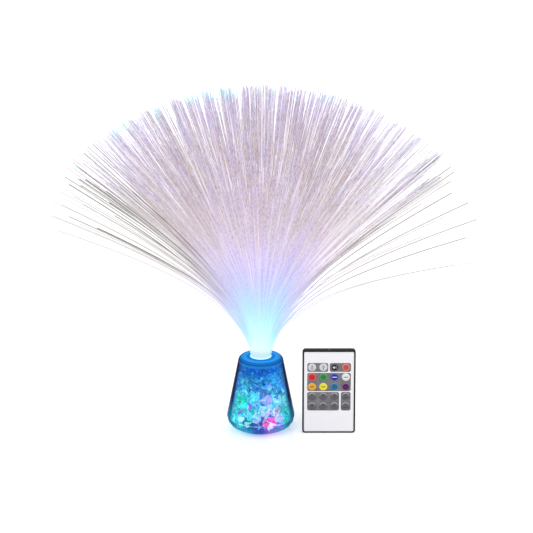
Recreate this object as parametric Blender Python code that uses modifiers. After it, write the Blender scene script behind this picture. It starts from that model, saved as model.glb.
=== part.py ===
"""A fibre optic lamp with a clear base full of crystals, a plug-in spray of light strands and a card remote.

Metres, +Z up, front towards -Y. The origin is on the table under the middle of the base.
"""

import math
import random

import bmesh
import bpy
from mathutils import Matrix, Vector, kdtree

# Fits and joins
GAP = 0.0003  # between faces that meet on the real lamp
CUT_OVERRUN = 0.001  # how far a cutter runs past the face it cuts
MERGE_DISTANCE = 0.00001

# Base: a clear shell on a dished tray
BASE_HEIGHT = 0.074
BASE_RADIUS = 0.0333
EDGE_RADIUS = 0.011  # rounding under the widest line
TOP_RADIUS = 0.0222
SHOULDER_RADIUS = 0.0042
WALL = 0.0025
TRAY_LIFT = 0.001  # the tray's underside above the table

# Feet, screws, switch and receiver under and on the tray
FOOT_RADIUS = 0.003
FOOT_THICKNESS = 0.0016
FOOT_CIRCLE = 0.019
FOOT_COUNT = 3
FIRST_FOOT_DEGREES = 90
FIXING_CIRCLE = 0.0175
SCREW_COUNT = 3
FIRST_SCREW_DEGREES = 30
BOSS_RADIUS = 0.0028
BOSS_HEIGHT = 0.0013
SCREW_HEAD_RADIUS = 0.0023
SCREW_HEAD_HEIGHT = 0.0013
SCREW_HEAD_INSET = 0.0002
SCREW_SHANK_RADIUS = 0.0011
SCREW_LENGTH = 0.0065
SWITCH_LENGTH = 0.0084
SWITCH_WIDTH = 0.0042
SWITCH_HEIGHT = 0.0036
KNOB_LENGTH = 0.003
KNOB_WIDTH = 0.002
KNOB_PROUD = 0.0004
KNOB_TRAVEL = 0.0025
RECEIVER_LENGTH = 0.005
RECEIVER_WIDTH = 0.004
RECEIVER_HEIGHT = 0.004
RECEIVER_EYE_RADIUS = 0.0014

# Power: three cells upright in the core, over a bayonet door
CELL_RADIUS = 0.00525
CELL_CAP_RADIUS = 0.0019
CELL_CAP_HEIGHT = 0.0008
CELL_COUNT = 3
CONTACT_THICKNESS = 0.0006
DOOR_DISC = 0.002
DOOR_RIM = 0.0012
DOOR_INSET = 0.0002
LUG_REACH = 0.0015
LUG_LENGTH = 0.006
LUG_HEIGHT = 0.001
NOTCH_DEGREES = 45  # how far the door turns before its lugs meet the tray's notches
COIN_SLOT_LENGTH = 0.012
COIN_SLOT_WIDTH = 0.0016
COIN_SLOT_DEPTH = 0.001

# Core, socket and light source
CORE_WALL = 0.0011
CORE_CAP = 0.0014
CORE_FLANGE = 0.0018
CORE_FLANGE_REACH = 0.0025
EAR_HEIGHT = 0.0032
LIGHT_HOLE_RADIUS = 0.006
BOARD_THICKNESS = 0.0016
LENS_RADIUS = 0.0048
LENS_HEIGHT = 0.0046
SOCKET_WALL = 0.0012
SOCKET_SKIRT_DEPTH = 0.0354  # from the top of the base down to the socket's visible lower edge
SOCKET_BORE = 0.0123
SOCKET_FLANGE_REACH = 0.002
SOCKET_FLANGE = 0.0013

# Ferrule, grip ring and strands
PLUG_LENGTH = 0.0174  # the cells, the light and the plug together fill the height of the base
FERRULE_WALL = 0.0015
FERRULE_PROUD = 0.0006
RING_GROOVE_DEPTH = 0.0008
RING_GROOVE_LENGTH = 0.0014
RING_SECTION = 0.0004
RING_DROP = 0.009  # the groove below the top of the base
STRAND_COUNT = 304
STRAND_LENGTH = 0.26  # from the ferrule's rim, where the slug ends too
STRAND_RADIUS = 0.00032
STRAND_EMBED = 0.002
STRAND_LENGTH_SPREAD_SHARE = 0.035
FRINGE_SHORT_SHARE = 0.04  # how much shorter the outermost strands are
STRAND_KNOT_SHARES = (0.12, 0.38, 1)
LEAN_STEPS = 40
STRAND_SEED = 48

# How the spray opens, as angles
BODY_LEAN = math.radians(60)  # tips of the dense body
FRINGE_LEAN = math.radians(17)  # more for the few outermost strands, to the sides
ROOT_LEAN_SHARE = 0.12
BEND_SHARE = 0.27
BODY_ROOT_SHARE = 0.94
FRONT_NARROW_SHARE = 0.18
SPREAD_AZIMUTH = math.radians(-13)
GOLDEN_ANGLE = math.pi * (3 - math.sqrt(5))

# Crystals in the base
GAP_TO_WALL = 0.0003
HEAP_COUNT = 4  # in each of two layers
HEAP_SPLIT_DEPTH = 0.0375  # from the top of the base down to where the two layers of heaps meet
HEAP_TOP_DEPTH = 0.009
HEAP_THICKNESS = 0.0055
HEAP_FOOT_DEGREES = -50  # how far the lower heaps reach round under the widest line
LOW_GEM_RELIEF = 0.0024  # how far the gems' points stand out of the valleys between them
LOW_GEM_COLUMNS = 5
LOW_GEM_ROWS = 5
HIGH_GEM_RELIEF = 0.0016
HIGH_GEM_COLUMNS = 6
HIGH_GEM_ROWS = 5
GEM_SHIFT_SHARE = 0.55  # how far a point may stray, as a share of half its cell
PINK_GEM_RADIUS = 0.0046
PINK_GEM_AZIMUTH = math.radians(-71)
PINK_GEM_DEGREES = -45
GEM_SEED = 5

# Card remote, standing beside the base
REMOTE_WIDTH = 0.052
REMOTE_HEIGHT = 0.087
REMOTE_DEPTH = 0.0065
REMOTE_CORNER = 0.003
REMOTE_EDGE = 0.0008
REMOTE_FRAME = 0.0014
REMOTE_BACK_WALL = 0.001
REMOTE_PANEL = 0.00075
REMOTE_PANEL_INSET = 0.0001
REMOTE_BOARD = 0.0005
REMOTE_X = 0.0666
REMOTE_BACK_Y = -0.0115
KEY_RADIUS = 0.004
KEY_PROUD = 0.0006
KEY_CROWN = 0.0002
KEY_FLANGE_REACH = 0.0005
KEY_FLANGE = 0.00025
KEY_TRAVEL = 0.0003
KEY_STANDOFF = 0.0001  # what is left over the board when a key is down
KEY_PITCH_SHARE = 0.2115  # from key to key across, as a share of the remote's width
KEY_PITCH_DOWN = 0.0102
FIRST_KEY_TOP = 0.0176
COIN_RADIUS = 0.01
COIN_THICKNESS = 0.0025
TRAY_FRAME = 0.0011
TRAY_FACE = 0.0016
IR_RADIUS = 0.0014
IR_LENGTH = 0.0062

# Facets
TURN_STEPS = 28
CORE_TURN_STEPS = 24
SMALL_TURN_STEPS = 10
ARC_STEPS = 4
CORNER_STEPS = 4

# Worked out from the sizes above
TAU = math.tau
EDGE_CENTRE = (BASE_RADIUS - EDGE_RADIUS, TRAY_LIFT + EDGE_RADIUS)
SHOULDER_CENTRE = (TOP_RADIUS - SHOULDER_RADIUS, BASE_HEIGHT - SHOULDER_RADIUS)
FLOOR_TOP = TRAY_LIFT + WALL
CELL_CIRCLE = CELL_RADIUS * 2 / math.sqrt(3)  # the cells touch each other
CORE_BORE = CELL_RADIUS + CELL_CIRCLE + GAP
CORE_RADIUS = CORE_BORE + CORE_WALL
SOCKET_RADIUS = CORE_RADIUS + GAP + SOCKET_WALL
BOSS_TOP = FLOOR_TOP + BOSS_HEIGHT
FLANGE_BASE = BOSS_TOP + GAP
DOOR_RADIUS = CORE_BORE + DOOR_RIM
DOOR_BASE = TRAY_LIFT + DOOR_INSET
DOOR_HOLE = DOOR_RADIUS + GAP
DOOR_FLOOR = DOOR_BASE + DOOR_DISC
CELL_BASE = DOOR_FLOOR + CONTACT_THICKNESS + 2 * GAP
SLUG_TOP = BASE_HEIGHT + FERRULE_PROUD
FERRULE_BASE = SLUG_TOP - PLUG_LENGTH
CORE_TOP = FERRULE_BASE - GAP
LENS_BASE = CORE_TOP - GAP - LENS_HEIGHT
BOARD_BASE = LENS_BASE - GAP - BOARD_THICKNESS
CONTACT_BASE = BOARD_BASE - GAP - CONTACT_THICKNESS
CELL_LENGTH = CONTACT_BASE - GAP - CELL_BASE  # that of an AAA cell, 44.5 mm, in a base 74 mm high
FERRULE_RADIUS = SOCKET_BORE - GAP
FERRULE_BORE = FERRULE_RADIUS - FERRULE_WALL
SLUG_RADIUS = FERRULE_BORE - GAP
ROOT_RADIUS = SLUG_RADIUS - 2.5 * STRAND_RADIUS
KEY_FLANGE_BASE = KEY_TRAVEL + KEY_STANDOFF  # above the board's face
PANEL_TOP = REMOTE_DEPTH - REMOTE_PANEL_INSET
PANEL_BASE = PANEL_TOP - REMOTE_PANEL
BOARD_FACE = PANEL_BASE - GAP - KEY_FLANGE - KEY_FLANGE_BASE
BOARD_BACK = BOARD_FACE - REMOTE_BOARD
TRAY_BACK = REMOTE_BACK_WALL + GAP
TRAY_THICKNESS = BOARD_BACK - GAP - TRAY_BACK

# The keys as they stand, row by row, with each one's colour
KEYS = (
    ("key_brighter", (0.82, 0.83, 0.85)),
    ("key_dimmer", (0.82, 0.83, 0.85)),
    ("key_sound", (0.01, 0.01, 0.012)),
    ("key_power", (0.85, 0.07, 0.04)),
    ("key_red", (0.75, 0.02, 0.02)),
    ("key_green", (0.02, 0.33, 0.05)),
    ("key_blue", (0.02, 0.05, 0.45)),
    ("key_white", (0.9, 0.9, 0.9)),
    ("key_orange", (0.95, 0.38, 0.02)),
    ("key_yellow", (0.95, 0.8, 0.02)),
    ("key_cyan", (0.02, 0.22, 0.5)),
    ("key_purple", (0.13, 0.01, 0.2)),
    ("key_mode_1", (0.2, 0.2, 0.2)),
    ("key_mode_2", (0.2, 0.2, 0.2)),
    ("key_mode_3", (0.2, 0.2, 0.2)),
    ("key_faster", (0.2, 0.2, 0.2)),
    ("key_mode_4", (0.2, 0.2, 0.2)),
    ("key_mode_5", (0.2, 0.2, 0.2)),
    ("key_mode_6", (0.2, 0.2, 0.2)),
    ("key_slower", (0.2, 0.2, 0.2)),
)
KEY_COLUMNS = 4


# Scene, materials and placing

def clear_scene():
    for old in list(bpy.data.objects):
        bpy.data.objects.remove(old, do_unlink=True)


def new_collection(name):
    made = bpy.data.collections.new(name)
    bpy.context.scene.collection.children.link(made)
    return made


def finish(name, colour, roughness=0.4, metallic=0.0):
    material = bpy.data.materials.new(name)
    material.use_nodes = True
    shader = material.node_tree.nodes["Principled BSDF"]
    shader.inputs["Base Color"].default_value = (*colour, 1)
    shader.inputs["Roughness"].default_value = roughness
    shader.inputs["Metallic"].default_value = metallic
    material.diffuse_color = (*colour, 1)
    return material


def frame_at(name, place=(0, 0, 0), tilt=0.0):
    """An empty that carries the pieces of one group."""
    frame = bpy.data.objects.new(name, None)
    frame.empty_display_size = BASE_RADIUS
    frame.location = place
    frame.rotation_euler = (tilt, 0, 0)
    PARTS.objects.link(frame)
    return frame


def mesh_from(shape, name):
    bmesh.ops.recalc_face_normals(shape, faces=shape.faces)
    mesh = bpy.data.meshes.new(name)
    shape.to_mesh(mesh)
    shape.free()
    return mesh


def part(name, mesh, frame, material, place=(0, 0, 0), turn=0.0):
    """A visible piece, in its frame's coordinates."""
    piece = bpy.data.objects.new(name, mesh)
    piece.parent = frame
    piece.location = place
    piece.rotation_euler = (0, 0, turn)
    mesh.materials.append(material)
    PARTS.objects.link(piece)
    return piece


def helper(name, mesh, frame, place=(0, 0, 0), turn=0.0):
    """A solid that only cuts or joins."""
    piece = bpy.data.objects.new(name, mesh)
    piece.parent = frame
    piece.location = place
    piece.rotation_euler = (0, 0, turn)
    piece.hide_render = True
    piece.display_type = "WIRE"
    CUTTERS.objects.link(piece)
    return piece


def combine(piece, other, operation):
    step = piece.modifiers.new(other.name, "BOOLEAN")
    step.operation = operation
    step.solver = "EXACT"
    step.object = other


def cut(piece, *cutters):
    for cutter in cutters:
        combine(piece, cutter, "DIFFERENCE")


def join(piece, *others):
    for other in others:
        combine(piece, other, "UNION")


def around(count, radius, first_degrees):
    """The places of count pieces on a circle, numbered from 1."""
    for index in range(count):
        azimuth = math.radians(first_degrees) + index * TAU / count
        yield index + 1, (radius * math.cos(azimuth), radius * math.sin(azimuth), 0)


# Shapes

def arc(centre, radius, first_degrees, last_degrees, steps=ARC_STEPS):
    """Points of an arc in the profile plane, both ends included."""
    points = []
    for step in range(steps + 1):
        angle = math.radians(first_degrees + (last_degrees - first_degrees) * step / steps)
        points.append((centre[0] + radius * math.cos(angle), centre[1] + radius * math.sin(angle)))
    return points


def turned_mesh(name, profile, closed):
    shape = bmesh.new()
    points = [shape.verts.new((radius, 0, height)) for radius, height in profile]
    for first, second in zip(points, points[1:]):
        shape.edges.new((first, second))
    if closed:
        shape.edges.new((points[-1], points[0]))
    mesh = bpy.data.meshes.new(name)
    shape.to_mesh(mesh)
    shape.free()
    return mesh


def turn_on_axis(piece, steps):
    screw = piece.modifiers.new("Turn", "SCREW")
    screw.axis = "Z"
    screw.angle = TAU
    screw.steps = steps
    screw.render_steps = steps
    screw.use_merge_vertices = True
    screw.merge_threshold = MERGE_DISTANCE
    return piece


def ring_part(name, profile, frame, material, steps=TURN_STEPS):
    """A turned piece with a hole in the middle: the profile runs clockwise, in (radius, height)."""
    return turn_on_axis(part(name, turned_mesh(name, profile, True), frame, material), steps)


def solid_part(name, profile, frame, material, steps=SMALL_TURN_STEPS, place=(0, 0, 0)):
    """A turned piece that is solid on its axis: the profile runs from the top to the bottom."""
    return turn_on_axis(part(name, turned_mesh(name, profile, False), frame, material, place), steps)


def cylinder(name, radius, low, high, steps=SMALL_TURN_STEPS, top_radius=None):
    shape = bmesh.new()
    bmesh.ops.create_cone(
        shape,
        cap_ends=True,
        segments=steps,
        radius1=radius,
        radius2=radius if top_radius is None else top_radius,
        depth=high - low,
        matrix=Matrix.Translation((0, 0, (low + high) / 2)),
    )
    return mesh_from(shape, name)


def box(name, low, high):
    shape = bmesh.new()
    size = Vector(high) - Vector(low)
    middle = (Vector(high) + Vector(low)) / 2
    bmesh.ops.create_cube(shape, size=1, matrix=Matrix.Translation(middle) @ Matrix.Diagonal((*size, 1)))
    return mesh_from(shape, name)


def rounded_outline(left, bottom, width, height, radius):
    """A rectangle with round corners, anticlockwise."""
    points = []
    for corner, (across, up) in enumerate(((1, 0), (1, 1), (0, 1), (0, 0))):
        centre = (
            left + radius + across * (width - 2 * radius),
            bottom + radius + up * (height - 2 * radius),
        )
        points += arc(centre, radius, 90 * corner - 90, 90 * corner, CORNER_STEPS)
    return points


def plate(name, outline, low, high):
    """A flat outline made thick: a filled 2D curve, turned into a mesh with its caps welded."""
    curve = bpy.data.curves.new(name, "CURVE")
    curve.dimensions = "2D"
    curve.fill_mode = "BOTH"
    curve.extrude = (high - low) / 2
    spline = curve.splines.new("POLY")
    spline.points.add(len(outline) - 1)
    for point, (across, up) in zip(spline.points, outline):
        point.co = (across, up, 0, 1)
    spline.use_cyclic_u = True
    shape = curve_shape(curve)
    bmesh.ops.translate(shape, verts=shape.verts, vec=(0, 0, (low + high) / 2))
    return mesh_from(shape, name)


def curve_shape(curve):
    """The welded bmesh of a curve; the curve itself is removed."""
    guide = bpy.data.objects.new(curve.name, curve)
    CUTTERS.objects.link(guide)
    bpy.context.view_layer.update()
    graph = bpy.context.evaluated_depsgraph_get()
    mesh = bpy.data.meshes.new_from_object(guide.evaluated_get(graph))
    shape = bmesh.new()
    shape.from_mesh(mesh)
    bmesh.ops.remove_doubles(shape, verts=shape.verts, dist=MERGE_DISTANCE)
    bpy.data.objects.remove(guide, do_unlink=True)
    bpy.data.meshes.remove(mesh)
    return shape


# The outer wall: a shoulder arc and an edge arc with one cone that touches both

def cone_lean():
    """The angle of the cone's outward normal above the horizontal."""
    across = SHOULDER_CENTRE[0] - EDGE_CENTRE[0]
    up = SHOULDER_CENTRE[1] - EDGE_CENTRE[1]
    return math.atan2(up, across) - math.acos((EDGE_RADIUS - SHOULDER_RADIUS) / math.hypot(across, up))


def wall_radius(height, inset):
    """The cone's radius at a height, measured inset inside its outer face."""
    lean = cone_lean()
    reach = EDGE_CENTRE[0] * math.cos(lean) + EDGE_CENTRE[1] * math.sin(lean) + EDGE_RADIUS - inset
    return (reach - height * math.sin(lean)) / math.cos(lean)


def make_shell(frame):
    """The clear blue cup, open below, with a hole in its top for the socket."""
    lean = math.degrees(cone_lean())
    rim = EDGE_CENTRE[1] + GAP
    hole = SOCKET_RADIUS + GAP
    outer = arc(SHOULDER_CENTRE, SHOULDER_RADIUS, 90, lean)
    inner = arc(SHOULDER_CENTRE, SHOULDER_RADIUS - WALL, lean, 90)
    profile = [(hole, BASE_HEIGHT), *outer, (BASE_RADIUS, rim)]
    profile += [(BASE_RADIUS - WALL, rim), *inner, (hole, BASE_HEIGHT - WALL)]
    return ring_part("clear_shell", profile, frame, finish("clear_shell", (0.03, 0.22, 0.8), 0.05))


def make_tray(frame):
    """The dished floor of the base, with the door hole and everything that is set into it."""
    outer = arc(EDGE_CENTRE, EDGE_RADIUS, 0, -90)
    inner = arc(EDGE_CENTRE, EDGE_RADIUS - WALL, -90, 0)
    profile = [*outer, (DOOR_HOLE, TRAY_LIFT), (DOOR_HOLE, FLOOR_TOP), *inner]
    tray = ring_part("base_tray", profile, frame, finish("base_tray", (0.05, 0.4, 0.75), 0.08))
    boss = cylinder("tray_boss", BOSS_RADIUS, FLOOR_TOP - WALL / 2, BOSS_TOP)
    head_hole_top = TRAY_LIFT + SCREW_HEAD_INSET + SCREW_HEAD_HEIGHT + GAP
    head_hole = cylinder("head_hole", SCREW_HEAD_RADIUS + GAP, TRAY_LIFT - CUT_OVERRUN, head_hole_top)
    shank_hole = cylinder("shank_hole", SCREW_SHANK_RADIUS + GAP, TRAY_LIFT, BOSS_TOP + CUT_OVERRUN)
    for index, place in around(SCREW_COUNT, FIXING_CIRCLE, FIRST_SCREW_DEGREES):
        join(tray, helper(f"tray_boss_{index}", boss, frame, place))
        cut(tray, helper(f"head_hole_{index}", head_hole, frame, place))
        cut(tray, helper(f"shank_hole_{index}", shank_hole, frame, place))
    recess = cylinder("foot_recess", FOOT_RADIUS + GAP, TRAY_LIFT - CUT_OVERRUN, FOOT_THICKNESS + GAP)
    for index, place in around(FOOT_COUNT, FOOT_CIRCLE, FIRST_FOOT_DEGREES):
        cut(tray, helper(f"foot_recess_{index}", recess, frame, place))
    slot_half = (KNOB_LENGTH / 2 + GAP, KNOB_WIDTH / 2 + GAP)
    slot = box(
        "switch_slot",
        (-FIXING_CIRCLE - slot_half[1], -slot_half[0], TRAY_LIFT - CUT_OVERRUN),
        (-FIXING_CIRCLE + slot_half[1], slot_half[0] + KNOB_TRAVEL, FLOOR_TOP + CUT_OVERRUN),
    )
    cut(tray, helper("switch_slot", slot, frame))
    reach = DOOR_RADIUS + LUG_REACH + GAP
    half = LUG_LENGTH / 2 + GAP
    notch = box(
        "lug_notch",
        (-reach, -half, TRAY_LIFT - CUT_OVERRUN),
        (reach, half, FLOOR_TOP + CUT_OVERRUN),
    )
    cut(tray, helper("lug_notch", notch, frame, turn=math.radians(NOTCH_DEGREES)))
    return tray


def make_fixings(frame):
    """Rubber feet and the screws that hold the core to the tray."""
    rubber = finish("foot_rubber", (0.05, 0.05, 0.06), 0.7)
    steel = finish("screw_steel", (0.6, 0.6, 0.62), 0.3, 1)
    for index, place in around(FOOT_COUNT, FOOT_CIRCLE, FIRST_FOOT_DEGREES):
        part(f"foot_{index}", cylinder("foot", FOOT_RADIUS, 0, FOOT_THICKNESS), frame, rubber, place)
    head = TRAY_LIFT + SCREW_HEAD_INSET
    profile = [
        (0, head + SCREW_LENGTH),
        (SCREW_SHANK_RADIUS, head + SCREW_LENGTH),
        (SCREW_SHANK_RADIUS, head + SCREW_HEAD_HEIGHT),
        (SCREW_HEAD_RADIUS, head + SCREW_HEAD_HEIGHT),
        (SCREW_HEAD_RADIUS, head),
        (0, head),
    ]
    for index, place in around(SCREW_COUNT, FIXING_CIRCLE, FIRST_SCREW_DEGREES):
        solid_part(f"tray_screw_{index}", profile, frame, steel, place=place)


def make_core(frame):
    """The battery tube: cells go in from below, and the light leaves through the hole in its cap."""
    flange = CORE_RADIUS + CORE_FLANGE_REACH
    profile = [
        (LIGHT_HOLE_RADIUS, CORE_TOP),
        (CORE_RADIUS, CORE_TOP),
        (CORE_RADIUS, FLANGE_BASE + CORE_FLANGE),
        (flange, FLANGE_BASE + CORE_FLANGE),
        (flange, FLANGE_BASE),
        (CORE_BORE, FLANGE_BASE),
        (CORE_BORE, CORE_TOP - CORE_CAP),
        (LIGHT_HOLE_RADIUS, CORE_TOP - CORE_CAP),
    ]
    core = ring_part("core_housing", profile, frame, finish("core_white", (0.8, 0.85, 0.9), 0.4), CORE_TURN_STEPS)
    ear = cylinder("core_ear", BOSS_RADIUS, FLANGE_BASE, FLANGE_BASE + EAR_HEIGHT)
    hole = cylinder(
        "ear_hole",
        SCREW_SHANK_RADIUS + GAP,
        FLANGE_BASE - CUT_OVERRUN,
        FLANGE_BASE + EAR_HEIGHT + CUT_OVERRUN,
    )
    for index, place in around(SCREW_COUNT, FIXING_CIRCLE, FIRST_SCREW_DEGREES):
        join(core, helper(f"core_ear_{index}", ear, frame, place))
        cut(core, helper(f"ear_hole_{index}", hole, frame, place))
    return core


def make_socket(frame):
    """The sleeve over the core: its bore holds the plug, and its flange carries the shell's top."""
    step = FERRULE_BASE
    flange_top = BASE_HEIGHT - WALL - GAP
    flange = SOCKET_RADIUS + SOCKET_FLANGE_REACH
    skirt = BASE_HEIGHT - SOCKET_SKIRT_DEPTH
    profile = [
        (SOCKET_BORE, BASE_HEIGHT),
        (SOCKET_RADIUS, BASE_HEIGHT),
        (SOCKET_RADIUS, flange_top),
        (flange, flange_top),
        (flange, flange_top - SOCKET_FLANGE),
        (SOCKET_RADIUS, flange_top - SOCKET_FLANGE),
        (SOCKET_RADIUS, skirt),
        (SOCKET_RADIUS - SOCKET_WALL, skirt),
        (SOCKET_RADIUS - SOCKET_WALL, step),
        (SOCKET_BORE, step),
    ]
    return ring_part("socket_tube", profile, frame, finish("socket_blue", (0.1, 0.45, 0.9), 0.1), CORE_TURN_STEPS)


def make_power(frame):
    """Three cells, and the contact plate that joins their tops."""
    jacket = finish("cell_jacket", (0.05, 0.05, 0.06), 0.3, 0.4)
    nickel = finish("contact_nickel", (0.75, 0.74, 0.7), 0.25, 1)
    body_top = CELL_BASE + CELL_LENGTH - CELL_CAP_HEIGHT
    profile = [
        (0, CELL_BASE + CELL_LENGTH),
        (CELL_CAP_RADIUS, CELL_BASE + CELL_LENGTH),
        (CELL_CAP_RADIUS, body_top),
        (CELL_RADIUS - GAP / 2, body_top),
        (CELL_RADIUS - GAP / 2, CELL_BASE),
        (0, CELL_BASE),
    ]
    for index, place in around(CELL_COUNT, CELL_CIRCLE, FIRST_FOOT_DEGREES):
        solid_part(f"battery_cell_{index}", profile, frame, jacket, TURN_STEPS // 2, place)
    disc = cylinder("cell_contact", CORE_BORE - GAP, CONTACT_BASE, CONTACT_BASE + CONTACT_THICKNESS, TURN_STEPS)
    part("cell_contact", disc, frame, nickel)
    return nickel


def make_light(frame):
    """The board with its driver, and the clear lens over the coloured diodes."""
    board = cylinder("led_board", CORE_BORE - GAP, BOARD_BASE, BOARD_BASE + BOARD_THICKNESS, TURN_STEPS)
    part("led_board", board, frame, finish("board_green", (0.02, 0.2, 0.08), 0.5))
    top = LENS_BASE + LENS_HEIGHT
    round_start = top - LENS_RADIUS * LENS_HEIGHT / (LENS_RADIUS + LENS_HEIGHT)
    profile = [(0, top)]
    for step in range(1, ARC_STEPS + 1):
        angle = step / ARC_STEPS * math.pi / 2
        profile.append((LENS_RADIUS * math.sin(angle), round_start + (top - round_start) * math.cos(angle)))
    profile += [(LENS_RADIUS, LENS_BASE), (0, LENS_BASE)]
    solid_part("led_lens", profile, frame, finish("lens_clear", (0.85, 0.95, 1), 0.05))
    low = FLOOR_TOP + GAP
    block = box(
        "ir_receiver",
        (FIXING_CIRCLE - RECEIVER_WIDTH / 2, -RECEIVER_LENGTH / 2, low),
        (FIXING_CIRCLE + RECEIVER_WIDTH / 2 - RECEIVER_EYE_RADIUS, RECEIVER_LENGTH / 2, low + RECEIVER_HEIGHT),
    )
    receiver = part("ir_receiver", block, frame, finish("receiver_black", (0.02, 0.02, 0.03), 0.2))
    eye = cylinder("receiver_eye", RECEIVER_EYE_RADIUS, low + GAP, low + RECEIVER_HEIGHT - GAP)
    middle = FIXING_CIRCLE + RECEIVER_WIDTH / 2 - RECEIVER_EYE_RADIUS
    join(receiver, helper("receiver_eye", eye, frame, (middle, 0, 0)))


def make_switch(frame):
    """A slide switch under the base. It rests at ON, and slides back towards +Y to OFF."""
    low = FLOOR_TOP + GAP
    case = box(
        "switch_case",
        (-FIXING_CIRCLE - SWITCH_WIDTH / 2, (KNOB_TRAVEL - SWITCH_LENGTH) / 2, low),
        (-FIXING_CIRCLE + SWITCH_WIDTH / 2, (KNOB_TRAVEL + SWITCH_LENGTH) / 2, low + SWITCH_HEIGHT),
    )
    part("switch_case", case, frame, finish("switch_black", (0.03, 0.03, 0.03), 0.5))
    knob = box(
        "switch_slider",
        (-KNOB_WIDTH / 2, -KNOB_LENGTH / 2, TRAY_LIFT - KNOB_PROUD),
        (KNOB_WIDTH / 2, KNOB_LENGTH / 2, FLOOR_TOP),
    )
    part("switch_slider", knob, frame, finish("slider_white", (0.8, 0.8, 0.8), 0.5), (-FIXING_CIRCLE, 0, 0))


def make_door(frame, nickel):
    """The round battery door: a quarter turn short of half frees its two lugs at the tray's notches."""
    rim_top = FLOOR_TOP + GAP + LUG_HEIGHT
    profile = [
        (0, DOOR_FLOOR),
        (DOOR_RADIUS - DOOR_RIM, DOOR_FLOOR),
        (DOOR_RADIUS - DOOR_RIM, rim_top),
        (DOOR_RADIUS, rim_top),
        (DOOR_RADIUS, DOOR_BASE),
        (0, DOOR_BASE),
    ]
    door = solid_part("battery_door", profile, frame, finish("door_blue", (0.05, 0.3, 0.7), 0.2), TURN_STEPS)
    for side, facing in (("right", 1), ("left", -1)):
        inner = DOOR_RADIUS - DOOR_RIM / 2
        lug = box(
            f"lug_{side}",
            (inner, -LUG_LENGTH / 2, FLOOR_TOP + GAP),
            (DOOR_RADIUS + LUG_REACH, LUG_LENGTH / 2, rim_top),
        )
        join(door, helper(f"lug_{side}", lug, frame, turn=0 if facing > 0 else math.pi))
    slot = box(
        "coin_slot",
        (-COIN_SLOT_LENGTH / 2, -COIN_SLOT_WIDTH / 2, DOOR_BASE - CUT_OVERRUN),
        (COIN_SLOT_LENGTH / 2, COIN_SLOT_WIDTH / 2, DOOR_BASE + COIN_SLOT_DEPTH),
    )
    cut(door, helper("coin_slot", slot, frame))
    low = DOOR_FLOOR + GAP
    disc = cylinder("door_contact", DOOR_RADIUS - DOOR_RIM - GAP, low, low + CONTACT_THICKNESS, TURN_STEPS // 2)
    part("door_contact", disc, frame, nickel)


# The plug: a ferrule with a grip ring in its groove, and the strands potted in it

def make_plug(frame):
    groove_middle = BASE_HEIGHT - RING_DROP
    groove = FERRULE_RADIUS - RING_GROOVE_DEPTH
    top = BASE_HEIGHT + FERRULE_PROUD
    profile = [
        (FERRULE_BORE, top),
        (FERRULE_RADIUS, top),
        (FERRULE_RADIUS, groove_middle + RING_GROOVE_LENGTH / 2),
        (groove, groove_middle + RING_GROOVE_LENGTH / 2),
        (groove, groove_middle - RING_GROOVE_LENGTH / 2),
        (FERRULE_RADIUS, groove_middle - RING_GROOVE_LENGTH / 2),
        (FERRULE_RADIUS, FERRULE_BASE),
        (FERRULE_BORE, FERRULE_BASE),
    ]
    ring_part("ferrule", profile, frame, finish("ferrule_clear", (0.5, 0.85, 1), 0.15), CORE_TURN_STEPS)
    centre = ((groove + SOCKET_BORE) / 2, groove_middle)
    section = arc(centre, RING_SECTION, 0, -360, ARC_STEPS)[:-1]
    ring_part("grip_ring", section, frame, finish("ring_rubber", (0.6, 0.7, 0.75), 0.6), CORE_TURN_STEPS)


def fringe_share(root_share):
    """0 for the strands of the dense body, rising to 1 for the outermost strand."""
    return max(root_share - BODY_ROOT_SHARE, 0) / (1 - BODY_ROOT_SHARE)


def tip_lean(root_share, azimuth):
    """How far a strand has leaned over at its tip: a dense body, and a few side strands beyond it."""
    side = math.cos(azimuth - SPREAD_AZIMUTH) ** 2
    body = BODY_LEAN * min(root_share / BODY_ROOT_SHARE, 1)
    return body * (1 - FRONT_NARROW_SHARE * (1 - side)) + FRINGE_LEAN * fringe_share(root_share) * side


def strand_points(root_share, azimuth, length):
    """The knots of one strand. It stays in its own upright plane and bends mostly near its root."""
    tip = tip_lean(root_share, azimuth)
    root = ROOT_LEAN_SHARE * tip
    radius, height = root_share * ROOT_RADIUS, SLUG_TOP
    knots = [(radius - STRAND_EMBED * math.sin(root), height - STRAND_EMBED * math.cos(root))]
    wanted = list(STRAND_KNOT_SHARES)
    for step in range(LEAN_STEPS):
        middle = (step + 0.5) / LEAN_STEPS
        lean = root + (tip - root) * (1 - math.exp(-middle / BEND_SHARE))
        radius += length / LEAN_STEPS * math.sin(lean)
        height += length / LEAN_STEPS * math.cos(lean)
        if (step + 1) / LEAN_STEPS >= wanted[0] - 0.5 / LEAN_STEPS:
            knots.append((radius, height))
            wanted.pop(0)
            if not wanted:
                break
    across, along = math.cos(azimuth), math.sin(azimuth)
    return [Vector((r * across, r * along, z)) for r, z in knots]


def all_strands():
    """Every strand's knots: roots packed like the seeds of a sunflower, so that none crosses another."""
    lengths = random.Random(STRAND_SEED)
    strands = []
    for index in range(STRAND_COUNT):
        root_share = math.sqrt((index + 0.5) / STRAND_COUNT)
        length = STRAND_LENGTH * (1 - STRAND_LENGTH_SPREAD_SHARE * lengths.random())
        length *= 1 - FRINGE_SHORT_SHARE * fringe_share(root_share)
        strands.append(strand_points(root_share, index * GOLDEN_ANGLE, length))
    return strands


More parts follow.
